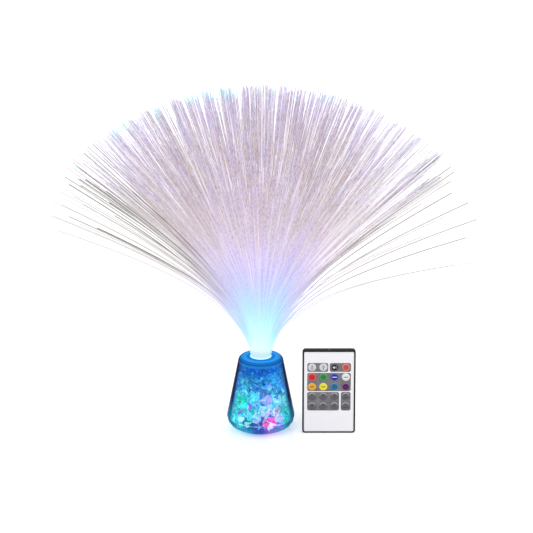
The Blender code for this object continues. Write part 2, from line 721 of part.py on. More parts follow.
def least_gap(strands, samples=12):
    """The smallest space between two strands, measured on points along them."""
    points = []
    for index, knots in enumerate(strands):
        for first, second in zip(knots, knots[1:]):
            for step in range(samples):
                points.append((index, first.lerp(second, (step + 1) / samples)))
    tree = kdtree.KDTree(len(points))
    for number, (_, place) in enumerate(points):
        tree.insert(place, number)
    tree.balance()
    nearest = STRAND_LENGTH
    for index, place in points:
        for _, number, distance in tree.find_range(place, 4 * STRAND_RADIUS):
            if points[number][0] != index:
                nearest = min(nearest, distance)
    return nearest - 2 * STRAND_RADIUS


def triangle_section():
    """The three-sided section that every strand is swept with."""
    curve = bpy.data.curves.new("strand_section", "CURVE")
    curve.dimensions = "2D"
    spline = curve.splines.new("POLY")
    spline.points.add(2)
    for index, point in enumerate(spline.points):
        angle = index * TAU / 3
        point.co = (STRAND_RADIUS * math.cos(angle), STRAND_RADIUS * math.sin(angle), 0, 1)
    spline.use_cyclic_u = True
    section = bpy.data.objects.new("strand_section", curve)
    section.hide_render = True
    CUTTERS.objects.link(section)
    return section


def make_spray(frame):
    """The slug that the ferrule grips, and the strands that stand in it."""
    profile = [
        (0, SLUG_TOP),
        (SLUG_RADIUS, SLUG_TOP),
        (SLUG_RADIUS, FERRULE_BASE + GAP),
        (0, FERRULE_BASE + GAP),
    ]
    spray = solid_part("fibre_spray", profile, frame, finish("strand_light", (0.78, 0.72, 0.88), 0.3), TURN_STEPS)
    strands = all_strands()
    curve = bpy.data.curves.new("strands", "CURVE")
    curve.dimensions = "3D"
    curve.bevel_mode = "OBJECT"
    curve.bevel_object = triangle_section()
    curve.use_fill_caps = True
    for knots in strands:
        spline = curve.splines.new("POLY")
        spline.points.add(len(knots) - 1)
        for point, knot in zip(spline.points, knots):
            point.co = (*knot, 1)
    join(spray, helper("strands", mesh_from(curve_shape(curve), "strands"), frame))
    print(f"{len(strands)} strands, least gap {least_gap(strands) * 1000:.2f} mm")


# Crystals: heaps of cut gems between the core and the wall

def line_place(height, inset):
    """A point of the base's section along the cone, inset from the wall's inner face."""
    lean = cone_lean()
    reach = wall_radius(height, WALL + GAP_TO_WALL)
    return reach - inset * math.cos(lean), height - inset * math.sin(lean)


def bowl_place(degrees, inset):
    """A point of the section inside the rounding under the widest line."""
    room = EDGE_RADIUS - WALL - GAP_TO_WALL - inset
    angle = math.radians(degrees)
    return EDGE_CENTRE[0] + room * math.cos(angle), EDGE_CENTRE[1] + room * math.sin(angle)


def low_place(share, inset, top):
    """The lower heaps run round the bowl for their first part, and then up the cone."""
    lean = math.degrees(cone_lean())
    cone_start = EDGE_CENTRE[1] + (EDGE_RADIUS - WALL - GAP_TO_WALL) * math.sin(math.radians(lean))
    bowl = (EDGE_RADIUS - WALL) * math.radians(lean - HEAP_FOOT_DEGREES)
    bowl_share = bowl / (bowl + top - cone_start)
    if share < bowl_share:
        return bowl_place(HEAP_FOOT_DEGREES + (lean - HEAP_FOOT_DEGREES) * share / bowl_share, inset)
    return line_place(cone_start + (top - cone_start) * (share - bowl_share) / (1 - bowl_share), inset)


def gem_sheet(columns, rows):
    """A flat sheet from -1 to 1 with a point over each cell at +1, the cells' corners at 0 and a back at -1."""
    shape = bmesh.new()
    bmesh.ops.create_grid(shape, x_segments=columns, y_segments=rows, size=1)
    front = list(shape.faces)
    back = bmesh.ops.extrude_face_region(shape, geom=front, use_keep_orig=True)
    for vert in [v for v in back["geom"] if isinstance(v, bmesh.types.BMVert)]:
        vert.co.z = -1
    for vert in bmesh.ops.poke(shape, faces=front)["verts"]:
        vert.co.z = 1
    return shape


def make_heap(name, azimuth, columns, rows, relief, place, frame, material, chance):
    """A gem sheet bent round the base. place gives the section's point for a share of its height and an inset."""
    half = TAU / HEAP_COUNT / 2
    cell = (GEM_SHIFT_SHARE / columns, GEM_SHIFT_SHARE / rows)
    shape = gem_sheet(columns, rows)
    for vert in shape.verts:
        across, up, layer = vert.co
        inset = (HEAP_THICKNESS, relief, relief * chance.random() / 2)[round(layer) + 1]
        if layer >= 0:
            across += cell[0] * chance.uniform(-1, 1) * (abs(across) < 1)
            up += cell[1] * chance.uniform(-1, 1) * (abs(up) < 1)
        reach, height = place((up + 1) / 2, inset)
        angle = azimuth + across * (half - math.asin(GAP / 2 / reach))
        vert.co = (reach * math.cos(angle), reach * math.sin(angle), height)
    bmesh.ops.triangulate(shape, faces=shape.faces)
    return part(name, mesh_from(shape, name), frame, material)


def make_crystals(frame):
    chance = random.Random(GEM_SEED)
    split = BASE_HEIGHT - HEAP_SPLIT_DEPTH
    low_top, high_bottom = split - GAP / 2, split + GAP / 2
    high_top = BASE_HEIGHT - HEAP_TOP_DEPTH
    lower, upper = finish("crystal_teal", (0.1, 0.7, 0.75), 0.1), finish("crystal_blue", (0.05, 0.3, 0.8), 0.1)
    pink_reach, pink_height = bowl_place(PINK_GEM_DEGREES, PINK_GEM_RADIUS)
    pink_place = (pink_reach * math.cos(PINK_GEM_AZIMUTH), pink_reach * math.sin(PINK_GEM_AZIMUTH), pink_height)
    for index in range(HEAP_COUNT):
        azimuth = index * TAU / HEAP_COUNT - TAU / 4
        heap = make_heap(
            f"crystals_low_{index + 1}",
            azimuth,
            LOW_GEM_COLUMNS,
            LOW_GEM_ROWS,
            LOW_GEM_RELIEF,
            lambda share, inset: low_place(share, inset, low_top),
            frame,
            lower,
            chance,
        )
        make_heap(
            f"crystals_high_{index + 1}",
            azimuth,
            HIGH_GEM_COLUMNS,
            HIGH_GEM_ROWS,
            HIGH_GEM_RELIEF,
            lambda share, inset: line_place(high_bottom + (high_top - high_bottom) * share, inset),
            frame,
            upper,
            chance,
        )
        if index == 0:
            side = PINK_GEM_RADIUS + GAP
            notch = box("room_for_pink", (0, -side, 0), (BASE_RADIUS, side, pink_height + side))
            cut(heap, helper("room_for_pink", notch, frame, turn=PINK_GEM_AZIMUTH))
    pink = bmesh.new()
    bmesh.ops.create_icosphere(pink, subdivisions=1, radius=PINK_GEM_RADIUS)
    magenta = finish("crystal_pink", (0.9, 0.1, 0.5), 0.1)
    part("pink_crystal", mesh_from(pink, "pink_crystal"), frame, magenta, pink_place)


# The remote, drawn flat: across and up its face, and from its back towards the viewer

def key_places():
    """Each key's middle on the face, row by row from the top left."""
    for number, (name, colour) in enumerate(KEYS):
        row, column = divmod(number, KEY_COLUMNS)
        across = (column - (KEY_COLUMNS - 1) / 2) * KEY_PITCH_SHARE * REMOTE_WIDTH
        up = REMOTE_HEIGHT - FIRST_KEY_TOP - row * KEY_PITCH_DOWN
        yield name, colour, (across, up, 0)


def make_remote_case(frame):
    left = -REMOTE_WIDTH / 2
    outline = rounded_outline(left, 0, REMOTE_WIDTH, REMOTE_HEIGHT, REMOTE_CORNER)
    mesh = plate("remote_case", outline, 0, REMOTE_DEPTH)
    case = part("remote_case", mesh, frame, finish("case_black", (0.02, 0.02, 0.02), 0.35))
    soft = case.modifiers.new("Rounded rims", "BEVEL")
    soft.width = REMOTE_EDGE
    soft.segments = 2
    soft.limit_method = "ANGLE"
    soft.angle_limit = math.radians(60)
    inner = rounded_outline(
        left + REMOTE_FRAME,
        REMOTE_FRAME,
        REMOTE_WIDTH - 2 * REMOTE_FRAME,
        REMOTE_HEIGHT - 2 * REMOTE_FRAME,
        REMOTE_CORNER - REMOTE_FRAME,
    )
    cavity = plate("remote_cavity", inner, REMOTE_BACK_WALL, REMOTE_DEPTH + CUT_OVERRUN)
    cut(case, helper("remote_cavity", cavity, frame))
    half = COIN_RADIUS + GAP + TRAY_FRAME + GAP
    mouth = box(
        "tray_mouth",
        (-half, -CUT_OVERRUN, REMOTE_BACK_WALL),
        (half, REMOTE_FRAME + CUT_OVERRUN, TRAY_BACK + TRAY_THICKNESS + GAP),
    )
    cut(case, helper("tray_mouth", mouth, frame))
    window = cylinder("ir_window", IR_RADIUS + GAP, 0, REMOTE_FRAME + 2 * CUT_OVERRUN)
    hole = helper("ir_window", window, frame, (0, REMOTE_HEIGHT + CUT_OVERRUN, ir_depth()))
    hole.rotation_euler = (math.pi / 2, 0, 0)
    cut(case, hole)


def ir_depth():
    """The transmitter's middle, lying on the case's back wall."""
    return REMOTE_BACK_WALL + GAP + IR_RADIUS


def make_remote_inside(frame, nickel):
    """The face panel with its key holes, the board, the transmitter and the coin cell in its tray."""
    left = -REMOTE_WIDTH / 2 + REMOTE_FRAME + GAP
    width = REMOTE_WIDTH - 2 * (REMOTE_FRAME + GAP)
    height = REMOTE_HEIGHT - 2 * (REMOTE_FRAME + GAP)
    corner = REMOTE_CORNER - REMOTE_FRAME - GAP
    outline = rounded_outline(left, REMOTE_FRAME + GAP, width, height, corner)
    mesh = plate("remote_panel", outline, PANEL_BASE, PANEL_TOP)
    panel = part("remote_panel", mesh, frame, finish("panel_white", (0.86, 0.86, 0.9), 0.3))
    hole = cylinder("key_hole", KEY_RADIUS + GAP, PANEL_BASE - CUT_OVERRUN, PANEL_TOP + CUT_OVERRUN)
    for name, _, place in key_places():
        cut(panel, helper(f"hole_for_{name}", hole, frame, place))
    board = plate("remote_board", outline, BOARD_BACK, BOARD_FACE)
    part("remote_board", board, frame, finish("remote_board_green", (0.02, 0.2, 0.08), 0.5))
    body = cylinder("remote_ir_led", IR_RADIUS, GAP, IR_LENGTH)
    diode = part("remote_ir_led", body, frame, finish("diode_violet", (0.1, 0.05, 0.15), 0.1))
    diode.location = (0, REMOTE_HEIGHT, ir_depth())
    diode.rotation_euler = (math.pi / 2, 0, 0)

    reach = COIN_RADIUS + GAP + TRAY_FRAME
    middle = REMOTE_FRAME + GAP + TRAY_FACE + GAP + COIN_RADIUS
    back, front = TRAY_BACK, TRAY_BACK + TRAY_THICKNESS
    outline = [(-reach, 0), (reach, 0), *arc((0, middle), reach, 0, 180, 2 * ARC_STEPS)]
    tray = part("cell_tray", plate("cell_tray", outline, back, front), frame, finish("tray_black", (0.03, 0.03, 0.03), 0.4))
    pocket = cylinder("coin_pocket", COIN_RADIUS + GAP, back - CUT_OVERRUN, front + CUT_OVERRUN, TURN_STEPS)
    cut(tray, helper("coin_pocket", pocket, frame, (0, middle, 0)))
    coin_back = back + (TRAY_THICKNESS - COIN_THICKNESS) / 2
    coin = cylinder("coin_cell", COIN_RADIUS, coin_back, coin_back + COIN_THICKNESS, TURN_STEPS)
    part("coin_cell", coin, frame, nickel, (0, middle, 0))


def make_keys(frame):
    """Twenty press keys, each trapped behind the panel by its flange."""
    base = BOARD_FACE + KEY_FLANGE_BASE
    top = PANEL_TOP + KEY_PROUD
    flange = KEY_RADIUS + KEY_FLANGE_REACH
    profile = [
        (0, top),
        (KEY_RADIUS - KEY_CROWN, top),
        (KEY_RADIUS, top - KEY_CROWN),
        (KEY_RADIUS, base + KEY_FLANGE),
        (flange, base + KEY_FLANGE),
        (flange, base),
        (0, base),
    ]
    for name, colour, place in key_places():
        solid_part(name, profile, frame, finish(name, colour, 0.35), place=place)


def smooth_round_pieces():
    for piece in PARTS.objects:
        if piece.type == "MESH":
            piece.data.shade_smooth()
            piece.data.set_sharp_from_angle(angle=math.radians(35))


clear_scene()
PARTS = new_collection("fibre_optic_lamp")
CUTTERS = new_collection("cutters")
base_frame = frame_at("base_frame")
switch_frame = frame_at("switch_frame")
door_frame = frame_at("door_frame")
plug_frame = frame_at("plug_frame")
remote_frame = frame_at("remote_frame", (REMOTE_X, REMOTE_BACK_Y, 0), math.pi / 2)

make_shell(base_frame)
make_tray(base_frame)
make_fixings(base_frame)
make_core(base_frame)
make_socket(base_frame)
nickel_finish = make_power(base_frame)
make_light(base_frame)
make_switch(switch_frame)
make_door(door_frame, nickel_finish)
make_plug(plug_frame)
make_spray(plug_frame)
make_crystals(base_frame)
make_remote_case(remote_frame)
make_remote_inside(remote_frame, nickel_finish)
make_keys(remote_frame)
smooth_round_pieces()
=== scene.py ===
# %% [markdown]
# # Dressing a fibre optic lamp
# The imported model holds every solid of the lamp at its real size: a clear blue base full of crystals,
# a spray of light strands in a socket, and a card remote that stands beside it. This lesson gives each
# of them the look of the real thing. It goes from the outside in: the view and the light first, then
# the finishes, the base, the crystals, the strands and the remote.

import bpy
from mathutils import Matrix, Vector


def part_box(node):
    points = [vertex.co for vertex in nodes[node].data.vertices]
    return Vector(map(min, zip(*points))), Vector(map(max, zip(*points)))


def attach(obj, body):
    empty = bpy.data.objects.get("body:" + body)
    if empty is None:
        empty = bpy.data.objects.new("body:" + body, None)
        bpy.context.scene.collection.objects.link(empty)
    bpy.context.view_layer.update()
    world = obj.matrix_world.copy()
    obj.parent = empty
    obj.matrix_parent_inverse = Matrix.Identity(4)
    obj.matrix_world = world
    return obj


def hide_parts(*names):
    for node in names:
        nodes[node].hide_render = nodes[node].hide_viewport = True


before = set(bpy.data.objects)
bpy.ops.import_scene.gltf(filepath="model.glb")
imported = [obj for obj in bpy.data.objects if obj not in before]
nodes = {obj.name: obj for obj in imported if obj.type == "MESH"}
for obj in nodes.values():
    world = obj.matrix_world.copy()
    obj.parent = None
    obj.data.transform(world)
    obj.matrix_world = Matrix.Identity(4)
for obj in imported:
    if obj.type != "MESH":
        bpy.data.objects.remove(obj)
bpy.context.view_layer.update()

# %% Bring in the tools
import math
import random

import bmesh
import bpy
import numpy as np
from mathutils import Matrix, Vector

scene = bpy.context.scene
MM = 0.001

# %% [markdown]
# ## The view
# Product photographers stand well back and use a long lens, which keeps upright sides parallel. A lens
# of 200 mm on a 36 mm sensor sees half a metre across at just under three metres. Looking down by 20
# degrees shows the round top of the base, and the hole that the strands stand in, as narrow ellipses.

# %% Camera
AIM = Vector((0.0056, 0, 0.1675))
CAMERA_DISTANCE = 2.9
CAMERA_RISE = math.radians(20)
CAMERA_LENS = 202

camera_data = bpy.data.cameras.new("camera")
camera_data.lens = CAMERA_LENS
camera_data.sensor_width = 36
camera = bpy.data.objects.new("camera", camera_data)
scene.collection.objects.link(camera)
back = Vector((0, -math.cos(CAMERA_RISE), math.sin(CAMERA_RISE)))
camera.location = AIM + back * CAMERA_DISTANCE
camera.rotation_euler = (math.pi / 2 - CAMERA_RISE, 0, 0)
scene.camera = camera
print("camera at", [round(value, 3) for value in camera.location])

# %% [markdown]
# ## Light and ground
# The lamp is lit like a small product: one broad soft lamp above on the left, a weaker one on the
# right, and an even pale surrounding. Together they come to a plain level, at which a colour comes out
# as it is written. A white ground could be made by more light, but that would bleach the lamp too. So
# the surrounding and the floor are white only for rays that come from the camera, from a reflection or
# through glass, and the lamps stay weak.

# %% Surroundings
LIGHTING_LEVEL = 0.82
world = bpy.data.worlds.new("surroundings")
scene.world = world
world.use_nodes = True
tree = world.node_tree
seen = tree.nodes["Background"]
seen.inputs["Color"].default_value = (1, 1, 1, 1)
seen.inputs["Strength"].default_value = 1
lighting = tree.nodes.new("ShaderNodeBackground")
lighting.inputs["Color"].default_value = (1, 1, 1, 1)
lighting.inputs["Strength"].default_value = LIGHTING_LEVEL
choose = tree.nodes.new("ShaderNodeMixShader")


def rays_that_show(tree):
    """1 for rays from the camera, a reflection or a clear material, and 0 for the rest."""
    path = tree.nodes.new("ShaderNodeLightPath")
    first = tree.nodes.new("ShaderNodeMath")
    first.operation = "MAXIMUM"
    both = tree.nodes.new("ShaderNodeMath")
    both.operation = "MAXIMUM"
    tree.links.new(path.outputs["Is Camera Ray"], first.inputs[0])
    tree.links.new(path.outputs["Is Glossy Ray"], first.inputs[1])
    tree.links.new(first.outputs[0], both.inputs[0])
    tree.links.new(path.outputs["Is Transmission Ray"], both.inputs[1])
    return both.outputs[0]


tree.links.new(rays_that_show(tree), choose.inputs[0])
tree.links.new(lighting.outputs[0], choose.inputs[1])
tree.links.new(seen.outputs[0], choose.inputs[2])
tree.links.new(choose.outputs[0], tree.nodes["World Output"].inputs["Surface"])
print("surroundings:", len(tree.nodes), "nodes")

# %% Lamps


def soft_lamp(name, place, size, watts):
    """A square lamp that faces the middle of the object."""
    data = bpy.data.lights.new(name, "AREA")
    data.size = size
    data.energy = watts
    lamp = bpy.data.objects.new(name, data)
    lamp.location = place
    lamp.rotation_euler = (AIM - Vector(place)).to_track_quat("-Z", "Y").to_euler()
    scene.collection.objects.link(lamp)
    return lamp


soft_lamp("key_light", (-1.1, -1.3, 1.7), 1.2, 9)
soft_lamp("fill_light", (1.4, -0.9, 1.1), 1.0, 4)
soft_lamp("top_light", (0.1, 0.5, 1.9), 0.9, 4)
print("lamps:", [light.name for light in bpy.data.lights])

# %% Floor
FLOOR_SIZE = 14
FLOOR_LIFT = 0.32
floor_mesh = bpy.data.meshes.new("floor")
half = FLOOR_SIZE / 2
floor_corners = [(-half, -half, 0), (half, -half, 0), (half, half, 0), (-half, half, 0)]
floor_mesh.from_pydata(floor_corners, [], [(0, 1, 2, 3)])
floor = bpy.data.objects.new("floor", floor_mesh)
scene.collection.objects.link(floor)
floor_paint = bpy.data.materials.new("white_table")
floor_paint.use_nodes = True
tree = floor_paint.node_tree
paint = tree.nodes["Principled BSDF"]
paint.inputs["Base Color"].default_value = (0.9, 0.9, 0.9, 1)
paint.inputs["Roughness"].default_value = 0.12
paint.inputs["Specular IOR Level"].default_value = 0.12
paint.inputs["Emission Color"].default_value = (1, 1, 1, 1)
lift = tree.nodes.new("ShaderNodeMath")
lift.operation = "MULTIPLY"
lift.inputs[1].default_value = FLOOR_LIFT
tree.links.new(rays_that_show(tree), lift.inputs[0])
tree.links.new(lift.outputs[0], paint.inputs["Emission Strength"])
floor_mesh.materials.append(floor_paint)
print("floor", FLOOR_SIZE, "m wide")

# %% [markdown]
# ## Tools for finishes
# Every finish below starts the same way: a Principled shader and the piece's own coordinates, so that
# a pattern travels with the piece. Three small helpers then cover most needs. One gives noise of a
# chosen size, one turns a number into a colour, and one turns it into another number. The others
# multiply, add and mix, or tell where on the lamp a point lies.

# %% Finish helpers


def new_finish(name):
    """An empty finish: its material, its node tree, its shader and the piece's own coordinates."""
    material = bpy.data.materials.new(name)
    material.use_nodes = True
    tree = material.node_tree
    own_place = tree.nodes.new("ShaderNodeTexCoord").outputs["Object"]
    return material, tree, tree.nodes["Principled BSDF"], own_place


def speckle(tree, place, size, detail=2.0):
    """Soft noise whose blotches are about `size` metres across."""
    noise = tree.nodes.new("ShaderNodeTexNoise")
    noise.inputs["Scale"].default_value = 1 / size
    noise.inputs["Detail"].default_value = detail
    tree.links.new(place, noise.inputs["Vector"])
    return noise.outputs["Fac"]


def colours(tree, value, *stops):
    """A colour for each value, from (value, (red, green, blue)) stops."""
    ramp = tree.nodes.new("ShaderNodeValToRGB")
    while len(ramp.color_ramp.elements) < len(stops):
        ramp.color_ramp.elements.new(0.5)
    for element, (position, colour) in zip(ramp.color_ramp.elements, stops):
        element.position = position
        element.color = (*colour, 1)
    tree.links.new(value, ramp.inputs["Fac"])
    return ramp.outputs["Color"]


def levels(tree, value, low, high, start=0.3, end=0.7):
    """The value, spread out so that start to end becomes low to high."""
    spread = tree.nodes.new("ShaderNodeMapRange")
    spread.inputs["From Min"].default_value = start
    spread.inputs["From Max"].default_value = end
    spread.inputs["To Min"].default_value = low
    spread.inputs["To Max"].default_value = high
    tree.links.new(value, spread.inputs["Value"])
    return spread.outputs["Result"]


def relief(tree, shader, height, depth):
    """Bumps of that depth in metres on the shader."""
    bump = tree.nodes.new("ShaderNodeBump")
    bump.inputs["Strength"].default_value = 0.4
    bump.inputs["Distance"].default_value = depth
    tree.links.new(height, bump.inputs["Height"])
    give(tree, shader, Normal=bump.outputs["Normal"])


def lighter(colour, share):
    """The colour, moved that share of the way to white, or to black for a share below 0."""
    goal = 1 if share > 0 else 0
    return tuple(value + (goal - value) * abs(share) for value in colour)


def read_attribute(tree, name):
    reader = tree.nodes.new("ShaderNodeAttribute")
    reader.attribute_name = name
    return reader.outputs["Fac"]


def feed(tree, socket, value):
    """Gives a socket a plain number, a plain colour, or what comes out of another node."""
    if isinstance(value, tuple):
        socket.default_value = (*value, 1)
    elif isinstance(value, (int, float)):
        socket.default_value = value
    else:
        tree.links.new(value, socket)


def give(tree, shader, **values):
    """Feeds the shader's sockets by name, with _ for a blank."""
    for name, value in values.items():
        feed(tree, shader.inputs[name.replace("_", " ")], value)


def mixed(tree, share, first, second, blend="MIX"):
    """Two colours mixed by a share."""
    mix = tree.nodes.new("ShaderNodeMix")
    mix.data_type = "RGBA"
    mix.blend_type = blend
    for socket, value in (("Factor", share), ("A", first), ("B", second)):
        feed(tree, mix.inputs[socket], value)
    return mix.outputs["Result"]


def reckoned(tree, operation, first, second):
    """What a maths node makes of two numbers."""
    maths = tree.nodes.new("ShaderNodeMath")
    maths.operation = operation
    feed(tree, maths.inputs[0], first)
    feed(tree, maths.inputs[1], second)
    return maths.outputs[0]


def product(tree, first, second):
    return reckoned(tree, "MULTIPLY", first, second)


def total(tree, first, second):
    return reckoned(tree, "ADD", first, second)


def larger(tree, first, second):
    return reckoned(tree, "MAXIMUM", first, second)


def part_of(tree, place, axis):
    """One coordinate of the place."""
    split = tree.nodes.new("ShaderNodeSeparateXYZ")
    tree.links.new(place, split.inputs[0])
    return split.outputs[axis]


def height_of(tree, place):
    return part_of(tree, place, "Z")


def reach_of(tree, place):
    """How far from the upright axis the place is."""
    flat = tree.nodes.new("ShaderNodeVectorMath")
    flat.operation = "MULTIPLY"
    flat.inputs[1].default_value = (1, 1, 0)
    tree.links.new(place, flat.inputs[0])
    reach = tree.nodes.new("ShaderNodeVectorMath")
    reach.operation = "LENGTH"
    tree.links.new(flat.outputs[0], reach.inputs[0])
    return reach.outputs["Value"]


print("finish helpers ready")

# %% [markdown]
# ## Opaque finishes
# Moulded plastic, rubber, nickel and a green circuit board are all solid colours at first sight. Close
# up, the colour drifts a little, the gloss is uneven, and the mould or the rolling mill leaves a fine
# grain. One maker of finishes with those three things in it serves all of them, and the numbers tell
# them apart. The solids from the model keep their shape and only get the finish in their slots.

# %% Moulded and metal finishes


def solid_finish(name, colour, gloss=(0.3, 0.45), grain=0.4 * MM, depth=0.01 * MM, drift=0.08, metallic=0.0):
    """An opaque finish with a drifting colour, uneven gloss and a fine grain."""
    material, tree, shader, own_place = new_finish(name)
    patches = speckle(tree, own_place, 6 * MM)
    paint = colours(tree, patches, (0.3, lighter(colour, -drift)), (0.7, lighter(colour, drift)))
    give(tree, shader, Base_Color=paint)
    fine = speckle(tree, own_place, grain, 3)
    give(tree, shader, Roughness=levels(tree, fine, *gloss))
    relief(tree, shader, fine, depth)
    give(tree, shader, Metallic=metallic)
    return material


INNER_FINISHES = {
    "cell_jacket": dict(colour=(0.03, 0.05, 0.09), gloss=(0.2, 0.3), drift=0.02, metallic=0.3),
    "contact_nickel": dict(colour=(0.72, 0.7, 0.66), gloss=(0.18, 0.35), metallic=1),
    "coin_steel": dict(colour=(0.68, 0.68, 0.68), gloss=(0.15, 0.3), metallic=1),
    "board_green": dict(colour=(0.02, 0.2, 0.08), gloss=(0.25, 0.5), drift=0.15),
    "receiver_black": dict(colour=(0.015, 0.012, 0.02), gloss=(0.08, 0.16), drift=0.005),
    "switch_black": dict(colour=(0.02, 0.02, 0.022), gloss=(0.4, 0.55), drift=0.008),
    "slider_white": dict(colour=(0.75, 0.75, 0.73), gloss=(0.35, 0.5)),
    "screw_steel": dict(colour=(0.6, 0.6, 0.62), gloss=(0.2, 0.4), metallic=1),
    "foot_rubber": dict(colour=(0.03, 0.03, 0.035), gloss=(0.6, 0.85), depth=0.03 * MM, drift=0.01),
    "remote_black": dict(colour=(0.02, 0.02, 0.022), gloss=(0.45, 0.55), drift=0.006),
    "diode_violet": dict(colour=(0.06, 0.02, 0.1), gloss=(0.05, 0.12), drift=0.02),
}
PAINTED_NODES = {
    "cell_jacket": ("battery_cell_1", "battery_cell_2", "battery_cell_3"),
    "contact_nickel": ("cell_contact", "door_contact"),
    "coin_steel": ("coin_cell",),
    "board_green": ("led_board", "remote_board"),
    "receiver_black": ("ir_receiver",),
    "switch_black": ("switch_case",),
    "slider_white": ("switch_slider",),
    "screw_steel": ("tray_screw_1", "tray_screw_2", "tray_screw_3"),
    "foot_rubber": ("foot_1", "foot_2", "foot_3", "grip_ring"),
    "remote_black": ("remote_case", "cell_tray"),
    "diode_violet": ("remote_ir_led",),
}


def paint_node(name, material):
    """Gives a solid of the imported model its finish."""
    mesh = nodes[name].data
    mesh.materials.clear()
    mesh.materials.append(material)


finishes = {name: solid_finish(name, **values) for name, values in INNER_FINISHES.items()}
finishes["remote_black"].node_tree.nodes["Principled BSDF"].inputs["Specular IOR Level"].default_value = 0.05
for finish_name, node_names in PAINTED_NODES.items():
    for node_name in node_names:
        paint_node(node_name, finishes[finish_name])
print(len(finishes), "opaque finishes on", sum(map(len, PAINTED_NODES.values())), "solids")

# %% [markdown]
# ## The clear blue base
# The cup, its dished floor and the socket are clear polycarbonate, tinted blue. Clear plastic shows
# its colour by depth: where the eye looks along the wall, at the sides, it crosses ten times as much
# plastic as in the middle, and the outline turns navy. A volume that absorbs light would do that too,
# but it is slow and noisy. Here the Layer Weight node tells how much a face turns away from the eye,
# and the tint goes over three colours with it: face, middle and edge. Height and distance from the
# axis then set the top, the joint line and the lit rim apart.
# The top carries painted blue light from the lamp's LEDs, with painted shade in its grooves, and the shell
# grows bluer with painted light towards the top.

# %% Clear finishes
CLEAR_IOR = 1.12
JOINT_FROM = 11.6 * MM
JOINT_TO = 12.5 * MM
SHOULDER_TURNS = 68.8 * MM
TOP_STARTS = 70.4 * MM


def clear_finish(name, face, middle, edge, gloss):
    """Clear plastic, with its tint where the eye looks straight through it, aslant, and along the wall."""
    material, tree, shader, own_place = new_finish(name)
    give(tree, shader, IOR=CLEAR_IOR, Specular_IOR_Level=0.04)
    slant = tree.nodes.new("ShaderNodeLayerWeight")
    slant.inputs["Blend"].default_value = 0.5
    height = height_of(tree, own_place)
    low_share = levels(tree, height, 0, 1, 14 * MM, 36 * MM)
    middle_by_height = colours(tree, low_share, (0.1, (0.05, 0.5, 0.7)), (0.9, middle))
    edge_by_height = colours(tree, low_share, (0.1, (0.01, 0.2, 0.38)), (0.9, edge))
    below_joint = levels(tree, height, 1, 0, JOINT_FROM, 11.9 * MM)
    above_joint = levels(tree, height, 0, 1, 12.15 * MM, JOINT_TO)
    away_from_joint = larger(tree, below_joint, above_joint)
    facing = product(tree, slant.outputs["Facing"], away_from_joint)
    tint = mixed(tree, levels(tree, facing, 0, 1, 0.38, 0.5), face, middle_by_height)
    tint = mixed(tree, levels(tree, facing, 0, 1, 0.5, 0.6), tint, edge_by_height)
    give(tree, shader, Base_Color=tint)
    see_through = levels(tree, facing, 1, 0.05, 0.46, 0.6)
    give(tree, shader, Transmission_Weight=see_through)
    haze = speckle(tree, own_place, 9 * MM)
    give(tree, shader, Roughness=levels(tree, haze, *gloss))
    relief(tree, shader, speckle(tree, own_place, 14 * MM), 0.02 * MM)
    return material, tree, shader, own_place, tint, see_through, slant.outputs["Facing"]


shell_finish, tree, shader, own_place, tint, see_through, slant = clear_finish(
    "shell_clear_blue", (0.8, 0.95, 1), (0.03, 0.3, 0.75), (0.001, 0.008, 0.06), (0.02, 0.05)
)
height = height_of(tree, own_place)
from_axis = reach_of(tree, own_place)
top_share = levels(tree, height, 0, 1, SHOULDER_TURNS, TOP_STARTS)
# Painted blue light from the lamp's LEDs on the top of the shell, with painted shade in dark bands at its
# two grooves.
top_blue_light = colours(
    tree,
    levels(tree, from_axis, 0, 1, 14 * MM, 24 * MM),
    (0.0, (0.03, 0.38, 0.88)),
    (0.35, (0.02, 0.28, 0.74)),
    (0.5, (0.02, 0.26, 0.7)),
    (0.56, (0.01, 0.12, 0.42)),
    (0.62, (0.016, 0.22, 0.64)),
    (0.7, (0.014, 0.2, 0.58)),
    (0.745, (0.006, 0.09, 0.36)),
    (0.79, (0.02, 0.25, 0.72)),
    (0.95, (0.02, 0.25, 0.72)),
)
far_out = levels(tree, from_axis, 0, 1, 19.3 * MM, 21 * MM)
at_side = product(tree, levels(tree, slant, 0, 1, 0.35, 0.8), far_out)
top_blue_light = mixed(tree, at_side, top_blue_light, (0.002, 0.012, 0.09))
high_share = levels(tree, height, 0, 1, 42 * MM, 68 * MM)
# Painted blue light from the lamp's LEDs, stronger towards the top of the shell.
bluer_light_above = colours(tree, high_share, (0.0, (1, 1, 1)), (0.6, (0.6, 0.85, 0.97)), (1.0, (0.15, 0.5, 0.92)))
tint = mixed(tree, 1.0, tint, bluer_light_above, "MULTIPLY")
give(tree, shader, Base_Color=mixed(tree, top_share, tint, top_blue_light))
clear_share = levels(tree, height, 1, 0.2, SHOULDER_TURNS, TOP_STARTS)
give(tree, shader, Transmission_Weight=product(tree, see_through, clear_share))
give(tree, shader, Emission_Color=top_blue_light)
near_hole = levels(tree, from_axis, 1, 0.3, 15 * MM, 21 * MM)
top_glow = product(tree, levels(tree, height, 0, 0.15, 68 * MM, 70 * MM), near_hole)
give(tree, shader, Emission_Strength=top_glow)

